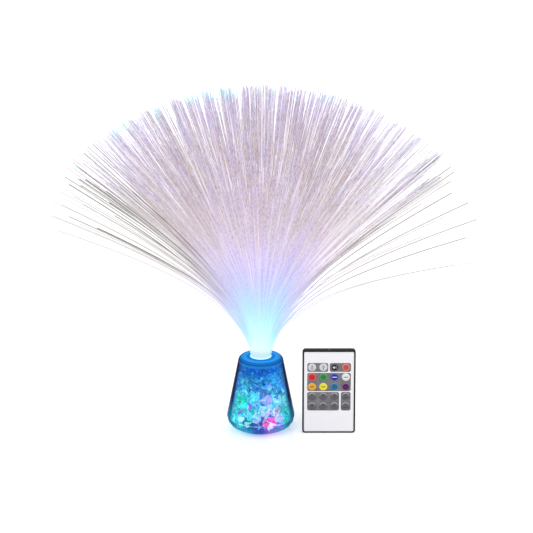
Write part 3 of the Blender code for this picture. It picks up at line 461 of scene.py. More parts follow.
tray_finish, tree, shader, own_place, tint, see_through, slant = clear_finish(
    "tray_clear_blue", (0.6, 0.9, 1), (0.05, 0.5, 0.7), (0.02, 0.3, 0.55), (0.03, 0.08)
)
rim_light = colours(
    tree,
    levels(tree, part_of(tree, own_place, "X"), 0, 1, -30 * MM, 30 * MM),
    (0.0, (0.1, 0.65, 0.8)),
    (0.3, (0.08, 0.55, 0.8)),
    (0.42, (0.05, 0.2, 0.62)),
    (0.52, (0.12, 0.12, 0.6)),
    (0.62, (0.5, 0.2, 0.7)),
    (0.72, (0.45, 0.35, 0.8)),
    (0.9, (0.1, 0.45, 0.7)),
)
rim_share = levels(tree, height_of(tree, own_place), 0.75, 0.0, 2 * MM, 10 * MM)
give(tree, shader, Base_Color=mixed(tree, rim_share, tint, rim_light), Emission_Color=rim_light)
rim_glow = levels(tree, height_of(tree, own_place), 0.2, 0.03, 2 * MM, 9 * MM)
give(tree, shader, Emission_Strength=rim_glow)

socket_finish, tree, shader, own_place, tint, see_through, slant = clear_finish(
    "socket_clear_blue", (0.25, 0.6, 1), (0.03, 0.35, 0.9), (0.015, 0.2, 0.65), (0.05, 0.1)
)
socket_glow = levels(tree, height_of(tree, own_place), 0, 1, 45 * MM, 74 * MM)
given = colours(tree, socket_glow, (0.0, (0.02, 0.2, 0.7)), (1.0, (0.02, 0.3, 0.9)))
give(tree, shader, Emission_Color=given)
give(tree, shader, Emission_Strength=levels(tree, socket_glow, 0.08, 0.15, 0.0, 1.0))

plug_finish, tree, shader, own_place, tint, see_through, slant = clear_finish(
    "ferrule_clear", (0.6, 0.95, 1), (0.4, 0.9, 1), (0.2, 0.8, 1), (0.05, 0.1)
)
out_share = levels(tree, reach_of(tree, own_place), 0, 1, 9 * MM, 14 * MM)
given = colours(tree, out_share, (0.2, (0.6, 0.98, 1)), (0.3, (0.15, 0.75, 1)), (0.42, (0.02, 0.3, 0.85)))
give(tree, shader, Emission_Color=given)
rim_paint = mixed(tree, levels(tree, out_share, 0, 1, 0.2, 0.38), tint, (0.015, 0.2, 0.65))
give(tree, shader, Base_Color=rim_paint, Transmission_Weight=product(tree, see_through, 0.3))
glow = levels(tree, height_of(tree, own_place), 0.3, 0.7, 60 * MM, 74 * MM)
glow = product(tree, glow, levels(tree, out_share, 1, 0.2, 0.25, 0.42))
give(tree, shader, Emission_Strength=glow)
print("clear finishes ready")

# %% [markdown]
# ## Turned pieces
# Everything round in the base is turned: one outline, spun once round the lamp's axis. A lathe in code
# is the shortest way to a smooth ring, and the outline is the same drawing that a toolmaker would cut
# the mould from. Its corners are broken with small arcs, which is where real plastic catches the light.

# %% The lathe


def show(name, mesh, material, body, slot, *replaced):
    """Puts a mesh in the scene as a piece of the lamp, riding on its body in place of CAD nodes."""
    mesh.materials.append(material)
    piece = bpy.data.objects.new(name, mesh)
    scene.collection.objects.link(piece)
    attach(piece, body)
    if replaced:
        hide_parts(*replaced)
    return piece


def turned_mesh(name, outline, steps=96):
    """A mesh from a closed outline of (radius, height) points, turned round the upright axis."""
    shape = bmesh.new()
    ring = [shape.verts.new((radius, 0, height)) for radius, height in outline]
    edges = [shape.edges.new((ring[index - 1], ring[index])) for index in range(len(ring))]
    bmesh.ops.spin(
        shape, geom=ring + edges, axis=(0, 0, 1), cent=(0, 0, 0), angle=math.tau, steps=steps, use_merge=True
    )
    bmesh.ops.remove_doubles(shape, verts=shape.verts, dist=1e-6)
    bmesh.ops.delete(shape, geom=[e for e in shape.edges if not e.link_faces], context="EDGES")
    bmesh.ops.recalc_face_normals(shape, faces=shape.faces)
    mesh = bpy.data.meshes.new(name)
    shape.to_mesh(mesh)
    shape.free()
    return mesh


def shade_up_to(mesh, crease):
    """Shades a mesh smooth, but for edges sharper than the crease angle."""
    mesh.shade_smooth()
    mesh.set_sharp_from_angle(angle=math.radians(crease))


def arc(centre, radius, first_degrees, last_degrees, steps=12):
    """Points of an arc, both ends included."""
    points = []
    for angle in np.radians(np.linspace(first_degrees, last_degrees, steps + 1)):
        points.append((centre[0] + radius * math.cos(angle), centre[1] + radius * math.sin(angle)))
    return points


print("lathe ready")

# %% [markdown]
# ## Shell and tray
# The shell is a cup turned upside down, open below, with one hole in its top. The tray is the dish that
# closes it from below. Both walls are 2.5 mm thick, and both are drawn as walls and not as surfaces,
# because light bends where it enters a wall and again where it leaves.

# %% Sizes of the base
WALL = 2.5 * MM
GAP = 0.3 * MM
GROOVE_DEPTH = 0.22 * MM
BASE_TOP = 74 * MM
EDGE_CENTRE = (22.3 * MM, 12 * MM)
EDGE_RADIUS = 11 * MM
SHOULDER_CENTRE = (18 * MM, 69.8 * MM)
SHOULDER_RADIUS = 4.2 * MM
SOCKET_RADIUS = 14.2 * MM
RIM_HEIGHT = EDGE_CENTRE[1] + 0.03 * MM
rise = math.atan2(SHOULDER_CENTRE[1] - EDGE_CENTRE[1], SHOULDER_CENTRE[0] - EDGE_CENTRE[0])
apart = math.dist(SHOULDER_CENTRE, EDGE_CENTRE)
WALL_LEAN = rise - math.acos((EDGE_RADIUS - SHOULDER_RADIUS) / apart)
print("the wall leans", round(math.degrees(WALL_LEAN), 1), "degrees")

# %% Clear shell
lean_degrees = math.degrees(WALL_LEAN)
hole = SOCKET_RADIUS + GAP
widest = EDGE_CENTRE[0] + EDGE_RADIUS
outline = [(hole, BASE_TOP)]
for groove_degrees in (66, 34):
    outline += arc(SHOULDER_CENTRE, SHOULDER_RADIUS, groove_degrees + 24, groove_degrees + 3, 5)
    groove = (groove_degrees + 1.5, groove_degrees - 1.5)
    outline += arc(SHOULDER_CENTRE, SHOULDER_RADIUS - GROOVE_DEPTH, *groove, 2)
outline += arc(SHOULDER_CENTRE, SHOULDER_RADIUS, 31, lean_degrees, 2)
outline += arc(EDGE_CENTRE, EDGE_RADIUS, lean_degrees, 2, 4)
outline += [(widest, RIM_HEIGHT), (widest - WALL, RIM_HEIGHT)]
outline += arc(EDGE_CENTRE, EDGE_RADIUS - WALL, 3, lean_degrees, 4)
outline += arc(SHOULDER_CENTRE, SHOULDER_RADIUS - WALL, lean_degrees, 90)
outline += [(hole, BASE_TOP - WALL)]
mesh = turned_mesh("shell", outline, 128)
shade_up_to(mesh, 40)
show("shell", mesh, shell_finish, "lamp_base", "shell_clear_blue", "clear_shell")
print("shell", len(mesh.polygons), "faces")

# %% Materials on the tray
paint_node("base_tray", tray_finish)
paint_node("battery_door", tray_finish)
print("tray and door painted")

# %% Socket, core and plug
# The core is white plastic; its blue here is painted blue light from the lamp's LEDs.
core_in_blue_light = solid_finish("core_white", (0.12, 0.4, 0.75), (0.35, 0.5))
paint_node("core_housing", core_in_blue_light)
paint_node("socket_tube", socket_finish)
paint_node("ferrule", plug_finish)
paint_node("led_lens", socket_finish)
print("socket, core and plug painted")

# %% [markdown]
# ## Crystals
# The base is filled with loose cut crystals. Each one is a small faceted stone. The quickest faceted
# shape is the convex hull of a few points scattered on a ball: it always closes, its facets are flat,
# and no two are alike. A colour for each facet is kept on the mesh, so that one finish serves them all.
# Their colours are the lamp's LED light painted on clear crystals, and each facet's brightness and glints
# are painted light.

# %% Where the stones lie
STONE_GAP = 0.35 * MM


def beside_wall(height, inset):
    """How far from the axis the point lies that is inset from the inner wall at that height."""
    if height < EDGE_CENTRE[1]:
        room = EDGE_RADIUS - WALL - STONE_GAP - inset
        drop = min((EDGE_CENTRE[1] - height) / max(room, 1e-6), 1)
        return EDGE_CENTRE[0] + room * math.sqrt(1 - drop * drop)
    reach = EDGE_CENTRE[0] * math.cos(WALL_LEAN) + EDGE_CENTRE[1] * math.sin(WALL_LEAN) + EDGE_RADIUS
    reach -= WALL + STONE_GAP + inset
    return (reach - height * math.sin(WALL_LEAN)) / math.cos(WALL_LEAN)


print("room beside the wall at 20 and 60 mm:", [round(beside_wall(h * MM, 0) / MM, 1) for h in (20, 60)])

# %% One cut stone
CORE_ROOM = 13.1 * MM
SOCKET_ROOM = SOCKET_RADIUS + STONE_GAP
SOCKET_FOOT = 38.3 * MM
FLOOR_ROOM = 3.9 * MM


def pressed_in(spot):
    """The spot, moved into the room between the wall, the floor and the tube in the middle."""
    height = min(max(spot.z, FLOOR_ROOM), BASE_TOP - WALL - 2 * STONE_GAP)
    inner = CORE_ROOM if height < SOCKET_FOOT else SOCKET_ROOM
    reach = math.hypot(spot.x, spot.y)
    wanted = min(max(reach, inner), beside_wall(height, 0))
    return Vector((spot.x * wanted / reach, spot.y * wanted / reach, height))


def cut_stone(shape, middle, radius, chance, points=10):
    """Adds a faceted stone to a bmesh, and returns its faces."""
    stretch = Vector([chance.uniform(0.8, 1.15) for _ in range(3)])
    corners = []
    for _ in range(points):
        direction = Vector([chance.gauss(0, 1) for _ in range(3)]).normalized()
        spot = Vector([a * b for a, b in zip(direction, stretch)]) * radius
        corners.append(shape.verts.new(pressed_in(spot + middle)))
    hull = bmesh.ops.convex_hull(shape, input=corners)
    inside = [v for v in hull["geom_interior"] if isinstance(v, bmesh.types.BMVert)]
    bmesh.ops.delete(shape, geom=inside, context="VERTS")
    return [g for g in hull["geom"] if isinstance(g, bmesh.types.BMFace) and g.is_valid]


print("stones are hulls of 10 points")

# %% Stone colours
# The crystals are clear: these colours are the lamp's coloured LED light, painted on them, and the navy is
# painted shade.
TEAL = (0.02, 0.6, 0.52)
GREEN = (0.02, 0.58, 0.34)
CYAN = (0.13, 0.68, 0.78)
PALE = (0.5, 0.85, 0.93)
BLUE = (0.04, 0.3, 0.6)
SKY = (0.08, 0.5, 0.82)
STEEL = (0.04, 0.42, 0.54)
VIOLET_BLUE = (0.09, 0.24, 0.6)
LILAC = (0.5, 0.42, 0.88)
PURPLE = (0.35, 0.15, 0.65)
BLUSH = (0.85, 0.68, 0.85)
NAVY_SHADE = (0.003, 0.03, 0.2)
MAGENTA = (1.0, 0.06, 0.42)
LIGHT_PINKS = ((1.0, 0.22, 0.45), (1.0, 0.4, 0.5), (1.0, 0.45, 0.8), (1.0, 0.7, 0.9))
PINK_SHADES = (MAGENTA, MAGENTA, MAGENTA, *LIGHT_PINKS)
GLINT = (0.6, 0.97, 1.0)


def stone_colour(azimuth, height, chance):
    """Painted LED light on the stones: blue above, and teal, cyan and a few lilac below, with painted navy
    shade low at the front left.
    """
    to_right = math.cos(azimuth)
    if height > 43 * MM:
        if to_right < -0.35:
            return chance.choices((BLUE, STEEL, SKY), (4, 5, 1))[0]
        if to_right < 0.3:
            return chance.choices((BLUE, VIOLET_BLUE, SKY, STEEL), (5, 4, 2, 1))[0]
        return chance.choices((BLUE, SKY, STEEL, CYAN), (5, 4, 4, 1))[0]
    if height > 37 * MM:
        if to_right < -0.35:
            return chance.choices((TEAL, CYAN, STEEL), (3, 3, 2))[0]
        return chance.choices((BLUE, SKY, CYAN, LILAC), (4, 4, 3, 1))[0]
    # Painted shade: navy stones where the heap shows a dark gap, low at the front left.
    if height < 12 * MM and math.sin(azimuth) < 0 and -0.55 < to_right < 0.1:
        return NAVY_SHADE
    if to_right < -0.3:
        return chance.choices((TEAL, GREEN, CYAN, PALE), (7, 1, 6, 1))[0]
    if to_right > 0.8:
        return chance.choices((TEAL, GREEN, CYAN), (5, 2, 3))[0]
    if to_right > 0.15:
        return chance.choices((CYAN, PALE, LILAC, BLUSH, PURPLE), (3, 2, 4, 3, 2))[0]
    return chance.choices((CYAN, PALE, SKY, LILAC, PURPLE), (5, 2, 2, 2, 2))[0]


print("a stone low on the left is", stone_colour(math.pi, 20 * MM, random.Random(1)))

# %% Stones that stand out
CHOSEN_STONES = (
    (4.7, 36, 7.6, LILAC),
    (-11, 29, 4.2, PURPLE),
    (13.8, 24, 7.4, BLUSH),
    (-8, 36, 6.6, CYAN),
    (-19, 15, 4.5, PALE),
    (19.5, 15, 5.6, LILAC),
    (-21, 21, 3.2, PURPLE),
    (8.6, 49, 3.4, LILAC),
    (-3, 20, 5.0, PALE),
    (26, 27, 5.0, GREEN),
)
HEAP_SPLIT = 36.5 * MM
stones = []
for across, height, radius, colour in CHOSEN_STONES:
    reach = beside_wall(height * MM, 0.8 * radius * MM)
    azimuth = -math.acos(max(-1, min(across * MM / reach, 1)))
    middle = Vector((reach * math.cos(azimuth), reach * math.sin(azimuth), height * MM))
    stones.append((middle, radius * MM, colour))
print(len(stones), "chosen stones")

# %% Fill the heaps
STONE_SEED = 11
PINK_SHIFT = Vector((0.9, 1.4, 2.0)) * MM
PINK_RADIUS = 7.4 * MM
LAYERS = (
    ("low", 8.5 * MM, HEAP_SPLIT - 2 * MM, 5.8 * MM, 7.6 * MM),
    ("high", HEAP_SPLIT + 2.2 * MM, 69 * MM, 4.1 * MM, 5.3 * MM),
)
pink_low, pink_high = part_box("pink_crystal")
pink_middle = (pink_low + pink_high) / 2
pink_middle += PINK_SHIFT
chance = random.Random(STONE_SEED)
for layer, low, high, size, pitch in LAYERS:
    rows = round((high - low) / (pitch * 0.86))
    for depth in (0, 1):
        for row in range(rows + 1):
            height = low + (high - low) * row / rows
            count = round(math.tau * beside_wall(height, size) / pitch)
            for column in range(count):
                azimuth = (column + 0.5 * (row % 2) + chance.uniform(-0.3, 0.3)) / count * math.tau
                radius = size * chance.uniform(0.8, 1.12)
                lift = height + chance.uniform(-0.25, 0.25) * pitch
                reach = beside_wall(lift, radius * 0.75 + depth * pitch * 0.6)
                middle = Vector((reach * math.cos(azimuth), reach * math.sin(azimuth), lift))
                chosen = stones[: len(CHOSEN_STONES)]
                crowded = any((s[0] - middle).length < 0.62 * (s[1] + radius) for s in chosen)
                on_pink = (middle - pink_middle).length < 0.68 * (PINK_RADIUS + radius)
                if on_pink or (crowded and not depth):
                    continue
                stones.append((middle, radius, stone_colour(azimuth, lift, chance)))
print("stones:", len(stones))

# %% Stone finish
CUT_SIZE = 2.1 * MM


def stone_finish(name, low_glow, cut_in_shade):
    """Cut glass: the facet's painted colour, finer cuts of painted light and shade in it, a painted glint
    along their edges, and some of it given off as a painted glow.
    """
    material, tree, shader, own_place = new_finish(name)
    facet = tree.nodes.new("ShaderNodeAttribute")
    facet.attribute_name = "facet"
    cuts, rims = [tree.nodes.new("ShaderNodeTexVoronoi") for _ in range(2)]
    rims.feature = "DISTANCE_TO_EDGE"
    for pattern in (cuts, rims):
        pattern.inputs["Scale"].default_value = 1 / CUT_SIZE
        tree.links.new(own_place, pattern.inputs["Vector"])
    # Painted light and shade: finer cuts lighter or darker, and a painted glint along their edges.
    cut_shades = ((0.15, cut_in_shade), (0.5, (0.85, 0.92, 1)), (0.8, (1, 1, 1)))
    cut_light = colours(tree, cuts.outputs["Color"], *cut_shades)
    paint = mixed(tree, 1.0, facet.outputs["Color"], cut_light, "MULTIPLY")
    glint = levels(tree, rims.outputs["Distance"], 0.2, 0, 0.02, 0.08)
    paint = mixed(tree, glint, paint, mixed(tree, 0.5, facet.outputs["Color"], (0.6, 0.9, 1)))
    give(tree, shader, Base_Color=paint, Emission_Color=paint)
    glow = levels(tree, height_of(tree, own_place), low_glow, 0.45, 30 * MM, 50 * MM)
    give(tree, shader, Emission_Strength=glow)
    give(tree, shader, Roughness=levels(tree, cuts.outputs["Distance"], 0.05, 0.2))
    return material


stones_finish = stone_finish("cut_stones", 0.54, (0.34, 0.54, 0.68))
pink_finish = stone_finish("pink_stone", 0.8, (0.8, 0.3, 0.6))
print("stone finish ready")

# %% Build the heaps


def facet_light(chance):
    """How bright one facet is: a few catch the light and some stay dark."""
    return chance.choices((1.3, 1.0, 0.8, 0.62), (3, 6, 5, 2))[0] * chance.uniform(0.92, 1.08)


def heap_mesh(name, heap, chance, points=10):
    """One mesh of cut stones, each facet with its own painted light on the stone's colour, and a few with a
    painted glint.
    """
    shape = bmesh.new()
    paints = []
    for middle, radius, colour in heap:
        for face in cut_stone(shape, middle, radius, chance, points):
            light = facet_light(chance)
            shine = 0.6 if chance.random() < 0.08 else 0
            shade = chance.choice(colour) if isinstance(colour[0], tuple) else colour
            paints.append((face, [min((a + (b - a) * shine) * light, 1) for a, b in zip(shade, GLINT)]))
    shape.faces.index_update()
    by_face = {face.index: paint for face, paint in paints if face.is_valid}
    mesh = bpy.data.meshes.new(name)
    shape.to_mesh(mesh)
    shape.free()
    facet = mesh.color_attributes.new("facet", "FLOAT_COLOR", "CORNER")
    for polygon in mesh.polygons:
        for corner in polygon.loop_indices:
            facet.data[corner].color = (*by_face[polygon.index], 1)
    return mesh


heaps = {}
for middle, radius, colour in stones:
    layer = "low" if middle.z < HEAP_SPLIT else "high"
    turn = (math.atan2(middle.y, middle.x) + 3 * math.pi / 4) % math.tau
    heaps.setdefault((layer, int(turn / (math.tau / 4)) + 1), []).append((middle, radius, colour))
for (layer, number), heap in sorted(heaps.items()):
    mesh = heap_mesh(f"stones_{layer}_{number}", heap, chance)
    slot = "crystal_teal" if layer == "low" else "crystal_blue"
    show(mesh.name, mesh, stones_finish, "lamp_base", slot, f"crystals_{layer}_{number}")
print("heaps:", len(heaps))

# %% Pink crystal
PINK_SEED = 6
PINK_POINTS = 26
pink_heap = [(pink_middle, PINK_RADIUS, PINK_SHADES)]
mesh = heap_mesh("pink_stone", pink_heap, random.Random(PINK_SEED), PINK_POINTS)
show("pink_stone", mesh, pink_finish, "lamp_base", "crystal_pink", "pink_crystal")
print("pink stone", len(mesh.polygons), "facets")

# %% [markdown]
# ## The spray
# The lamp's spray is a bundle of about 1,900 plastic strands half a millimetre thick. Each leaves the
# plug almost upright, bends over mostly near its root, and runs out nearly straight. Curves with a
# bevel would draw them too, but one mesh made point by point can carry, for each point, how far along
# its strand it is and which strand it belongs to. The finish reads both: light fades along a strand,
# and no two strands are equally bright. Strands that lean towards the eye or away from it would look
# short, so those near the middle are made a little longer, and the rim comes out even.

# %% Lean of a strand
GOLDEN_ANGLE = math.pi * (3 - math.sqrt(5))
STRAND_COUNT = 1900
STRAND_LENGTH = 262.5 * MM
STRAND_RADIUS = 0.28 * MM
ROOT_STRAND_RADIUS = 0.2 * MM
OUTER_STRAND_RADIUS = 0.42 * MM
STRAND_FOOT = BASE_TOP + 0.6 * MM
ROOT_RADIUS = 9.4 * MM
BODY_LEAN = math.radians(53.5)
FRINGE_LEAN = math.radians(27)
LEFT_FRINGE = 0.8
BODY_SHARE = 0.979
LEFT_BODY_SHARE = 0.948
SPREAD_AZIMUTH = math.radians(-13)


def strand_leans(share, azimuth, fringe, along):
    """How far strands have leaned over, at the places along them."""
    side = np.cos(azimuth - SPREAD_AZIMUTH) ** 2
    body = BODY_LEAN * share * (1 - 0.18 * (1 - side))
    outward = np.where(np.cos(azimuth) < 0, LEFT_FRINGE, 1)
    tip = body + FRINGE_LEAN * fringe * side * outward
    root = 0.12 * tip
    return root + (tip - root) * (1 - np.exp(-along / 0.27))


outermost = math.degrees(strand_leans(1, SPREAD_AZIMUTH, 1, 1.0))
print("the outermost strand leans", round(outermost), "degrees at its tip")

# %% Lines of the strands
STRAND_STEPS = 24
STRAND_SEED = 7
CLUMPS = 200
CLUMP_PULL = 0.72
LENGTH_SPREAD = 0.007
FRINGE_SHORTER = 0.07
STRAY = 0.016
EVEN_TO = math.radians(13)
EVEN_END = math.radians(24)
chance = np.random.default_rng(STRAND_SEED)
index = np.arange(STRAND_COUNT)
share = np.sqrt((index + 0.5) / STRAND_COUNT)
azimuth = index * GOLDEN_ANGLE
home = np.stack([share * np.cos(azimuth), share * np.sin(azimuth)], axis=1)
body_share = np.where(np.cos(azimuth) < 0, LEFT_BODY_SHARE, BODY_SHARE)
fringe = (np.maximum(share - body_share, 0) / (1 - body_share)) ** 1.6
clump_number = np.arange(CLUMPS)
clump_share = 0.99 * np.sqrt((clump_number + 0.5) / CLUMPS)
clump_turn = clump_number * GOLDEN_ANGLE + 1
clump_home = np.stack([clump_share * np.cos(clump_turn), clump_share * np.sin(clump_turn)], axis=1)
clump_home += chance.normal(0, 0.02, clump_home.shape)
own_clump = np.argmin(np.linalg.norm(home[:, None] - clump_home[None], axis=2), axis=1)
pull = np.where(fringe > 0, 0, CLUMP_PULL)[:, None]
length = STRAND_LENGTH * (1 - LENGTH_SPREAD * chance.random(STRAND_COUNT) - FRINGE_SHORTER * fringe)
stray = chance.normal(0, STRAY, home.shape)
place = np.column_stack([home * ROOT_RADIUS, np.full(STRAND_COUNT, STRAND_FOOT)])
lines = [place]
for step in range(STRAND_STEPS):
    along = (step + 0.5) / STRAND_STEPS
    spot = home + (clump_home[own_clump] - home) * pull * along**0.7 + stray * along
    spot_share = np.minimum(np.linalg.norm(spot, axis=1) / body_share, 1)
    turn = np.arctan2(spot[:, 1], spot[:, 0])
    lean = strand_leans(spot_share, turn, fringe, along)
    ahead = np.stack([np.sin(lean) * np.cos(turn), np.sin(lean) * np.sin(turn), np.cos(lean)], axis=1)
    lines.append(lines[-1] + ahead * (length / STRAND_STEPS)[:, None])
lines = np.array(lines)
chord = lines[-1] - lines[0]
depth = chord @ np.array([0, math.cos(CAMERA_RISE), -math.sin(CAMERA_RISE)])
offset = np.abs(np.arcsin(depth / np.linalg.norm(chord, axis=1)))
evening = 1 / np.cos(np.minimum(offset, EVEN_TO)) - 1
evening *= np.clip((EVEN_END - offset) / (EVEN_END - EVEN_TO), 0, 1)
lines = lines[0] + (lines - lines[0]) * (1 + evening)[:, None]
print(STRAND_COUNT, "strands in", CLUMPS, "tufts")

# %% [markdown]
# ## Partings
# Strands that are handled stick together and leave narrow wedges open between them, which show as
# white rays. Each parting has an angle in the fan, as the eye sees it, and a width, both in degrees.
# The strands beside it are combed apart, a little more towards their tips.

# %% Partings
PARTINGS = (
    (-36.5, 0.35), (-31.5, 0.3), (-27.5, 0.2), (-24.2, 0.3), (-20.4, 0.5), (-17, 0.38),
    (-13.2, 0.45), (-9.5, 0.15), (-4.9, 0.3), (-2.5, 0.2), (0.8, 0.15), (3.6, 0.35),
    (7.7, 0.25), (10.2, 0.3), (12, 0.15), (14.4, 0.25), (17, 0.2), (19.4, 0.4),
    (21.5, 0.15), (25.3, 0.3), (28, 0.2), (31, 0.35), (34, 0.2), (37, 0.3),
)
COMB_REACH = math.radians(0.9)
tilted_up = np.array([0, math.sin(CAMERA_RISE), math.cos(CAMERA_RISE)])
from_foot = lines - np.array([0, 0, STRAND_FOOT])
across = from_foot[..., 0]
upward = from_foot @ tilted_up
fan_angle = np.arctan2(across, upward)
places_along = np.linspace(0, 1, STRAND_STEPS + 1)[:, None]
shift = np.zeros(lines.shape[:2])
for angle, width in PARTINGS:
    away = fan_angle[-1] - math.radians(angle)
    opening = np.clip((places_along - 0.86 + 0.25 * width) / 0.22, 0, 1)
    shift += np.sign(away) * math.radians(width) * opening * np.exp(-np.abs(away) / COMB_REACH)
combed = fan_angle + shift
reach = np.hypot(across, upward)
lines[..., 0] += reach * (np.sin(combed) - np.sin(fan_angle))
lines += (reach * (np.cos(combed) - np.cos(fan_angle)))[..., None] * tilted_up
print("the spray reaches from", np.round(lines.min((0, 1)) / MM), "to", np.round(lines.max((0, 1)) / MM))

# %% Skin of the strands
SIDES = 4
SWELL_END = 0.18


def strand_mesh(name, chosen):
    """One mesh of square-sided strands, with the attributes that the finish reads."""
    paths = lines[:, chosen]
    ahead = np.gradient(paths, axis=0)
    ahead /= np.linalg.norm(ahead, axis=2, keepdims=True)
    across = np.cross(ahead, (0, 0, 1))
    across += 1e-9
    across /= np.linalg.norm(across, axis=2, keepdims=True)
    third = np.cross(ahead, across)
    swell = np.clip(np.linspace(0, 1, len(paths)) / SWELL_END, 0, 1)[:, None]
    thick = ROOT_STRAND_RADIUS + (strand_radius[chosen] - ROOT_STRAND_RADIUS) * swell
    rings = []
    for side in range(SIDES):
        angle = math.tau * side / SIDES
        rings.append(paths + thick[..., None] * (across * math.cos(angle) + third * math.sin(angle)))
    points = np.stack(rings, axis=2)
    steps, count = paths.shape[0], paths.shape[1]
    number = np.arange(steps * count * SIDES).reshape(steps, count, SIDES)
    nearer = number[:-1]
    farther = number[1:]
    corners = [nearer, np.roll(nearer, -1, 2), np.roll(farther, -1, 2), farther]
    quads = np.stack(corners, axis=-1).reshape(-1, 4)
    caps = np.concatenate([number[0, :, ::-1], number[-1]])
    mesh = bpy.data.meshes.new(name)
    mesh.from_pydata(points.reshape(-1, 3), [], [*quads.tolist(), *caps.tolist()])
    keep_number(mesh, "along", np.repeat(np.linspace(0, 1, steps), count * SIDES))
    for attribute, values in strand_values.items():
        keep_number(mesh, attribute, np.tile(np.repeat(values[chosen], SIDES), steps))
    mesh.shade_smooth()
    return mesh


def keep_number(mesh, name, values):
    """Keeps one number for each point of the mesh, for the finish to read."""
    mesh.attributes.new(name, "FLOAT", "POINT").data.foreach_set("value", values.astype(np.float32))


tips = lines[-1]
strand_tone = chance.random(STRAND_COUNT)
outer_radius = OUTER_STRAND_RADIUS + 0.1 * MM * (strand_tone > 0.45)
strand_radius = np.where(fringe > 0, outer_radius, STRAND_RADIUS)
CYAN_ARCS = ((-34, -29, 0.9), (-24, -20.5, 0.8), (-17, -5, 0.95), (-2, 4, 0.3), (11, 16, 0.5))
tip_angle = np.degrees(combed[-1])
cyan_chance = np.full(STRAND_COUNT, 0.02)
at_rim = (fringe == 0) & (reach[-1] > 0.945 * STRAND_LENGTH)
for first, last, likely in CYAN_ARCS:
    cyan_chance[(tip_angle > first) & (tip_angle < last) & at_rim] = likely
sideways = np.clip((np.abs(np.cos(azimuth)) - 0.45) / 0.3, 0, 1)
lateral = np.abs(tips[:, 0]) / np.linalg.norm(tips - np.array([0, 0, STRAND_FOOT]), axis=1)
on_right = tips[:, 0] > 0
strand_tone = np.where((fringe > 0) & on_right, 0.78 * strand_tone, strand_tone)
body_grey = np.clip((lateral - 0.5) / 0.15, 0, 1) * np.where(strand_tone > 0.7, 0.7, 0.1)
bare = np.where(on_right, np.clip((lateral - 0.35) / 0.1, 0, 1), np.clip((lateral - 0.52) / 0.1, 0, 1))
white_lines = bare * (strand_tone < np.where(on_right, 0.3, 0.4)) * (fringe == 0)
strand_values = {
    "tone": strand_tone,
    "clump": chance.random(CLUMPS)[own_clump],
    "flank": np.clip((lateral - 0.3) / 0.28, 0, 1),
    "grey": np.where(fringe > 0, sideways, body_grey),
    "white_line": white_lines.astype(float),
    "calm": (fringe > 0).astype(float),
    "cyan_tip": (chance.random(STRAND_COUNT) < cyan_chance).astype(float),
}
print("strand skins have", SIDES, "sides")

# %% Strand finish
ATTRIBUTES = ("along", "tone", "clump", "flank", "grey", "white_line", "calm", "cyan_tip")
strand_finish, tree, shader, own_place = new_finish("fibre_clear")
numbers = [read_attribute(tree, name) for name in ATTRIBUTES]
along, tone, clump, flank, grey, white_line, calm, cyan_tip = numbers
lively = levels(tree, calm, 1, 0.25, 0.0, 1.0)
run_ahead = product(tree, flank, levels(tree, along, 0, 0.13, 0.03, 0.12))
run_ahead = product(tree, run_ahead, levels(tree, along, 1, 0, 0.5, 0.7))
body = colours(
    tree,
    total(tree, along, run_ahead),
    (0.0, (0.85, 0.96, 0.9)),
    (0.06, (0.75, 0.94, 0.9)),
    (0.12, (0.65, 0.92, 0.9)),
    (0.19, (0.56, 0.83, 0.89)),
    (0.28, (0.58, 0.74, 0.88)),
    (0.37, (0.64, 0.68, 0.87)),
    (0.45, (0.68, 0.64, 0.84)),
    (0.55, (0.73, 0.665, 0.83)),
    (0.66, (0.74, 0.67, 0.73)),
    (0.78, (0.71, 0.65, 0.66)),
    (0.88, (0.7, 0.63, 0.72)),
    (0.96, (0.64, 0.58, 0.8)),
)
warm = colours(tree, clump, (0.2, (0.85, 0.81, 0.76)), (0.5, (1, 1, 1)), (0.9, (1.0, 0.95, 1.0)))
body = mixed(tree, levels(tree, along, 0, 1, 0.3, 0.7), body, mixed(tree, 1.0, body, warm, "MULTIPLY"))


def streaked(tone_scale, along_scale, detail):
    """Noise that changes from strand to strand and along each strand."""
    spot = tree.nodes.new("ShaderNodeCombineXYZ")
    tree.links.new(product(tree, tone, tone_scale), spot.inputs["X"])
    tree.links.new(product(tree, along, along_scale), spot.inputs["Y"])
    return speckle(tree, spot.outputs[0], 1.0, detail)


beads = streaked(90, 60, 4)
highlight_streaks = streaked(60, 3, 1)
bead_shade = colours(tree, beads, (0.3, (0.55, 0.52, 0.52)), (0.56, (1.0, 1.0, 1.0)))
beaded = mixed(tree, 1.0, body, bead_shade, "MULTIPLY")
shade = mixed(tree, product(tree, lively, levels(tree, along, 0.15, 1, 0.2, 0.75)), body, beaded)
# Painted highlights: white streaks along the strands; whole strands painted white on the flanks are added
# below.
white = product(tree, levels(tree, highlight_streaks, 0, 0.85, 0.58, 0.66), levels(tree, along, 0.3, 1, 0.25, 0.75))
whole_white = product(tree, white_line, levels(tree, along, 0, 0.9, 0.3, 0.6))
white = larger(tree, product(tree, white, lively), whole_white)
shade = mixed(tree, white, shade, (0.98, 0.97, 1))
spark = product(tree, levels(tree, beads, 0, 1, 0.66, 0.7), levels(tree, along, 0, 1, 0.3, 0.5))
shade = mixed(tree, product(tree, spark, lively), shade, (0.8, 0.97, 1))
grey_paint = colours(
    tree,
    tone,
    (0.0, (0.77, 0.75, 0.73)),
    (0.44, (0.63, 0.61, 0.58)),
    (0.52, (0.47, 0.44, 0.42)),
    (0.78, (0.375, 0.35, 0.335)),
    (0.84, (0.25, 0.23, 0.22)),
    (1.0, (0.18, 0.165, 0.155)),
)
grey_share = product(tree, grey, levels(tree, along, 0, 1, 0.22, 0.55))
shade = mixed(tree, grey_share, shade, grey_paint)
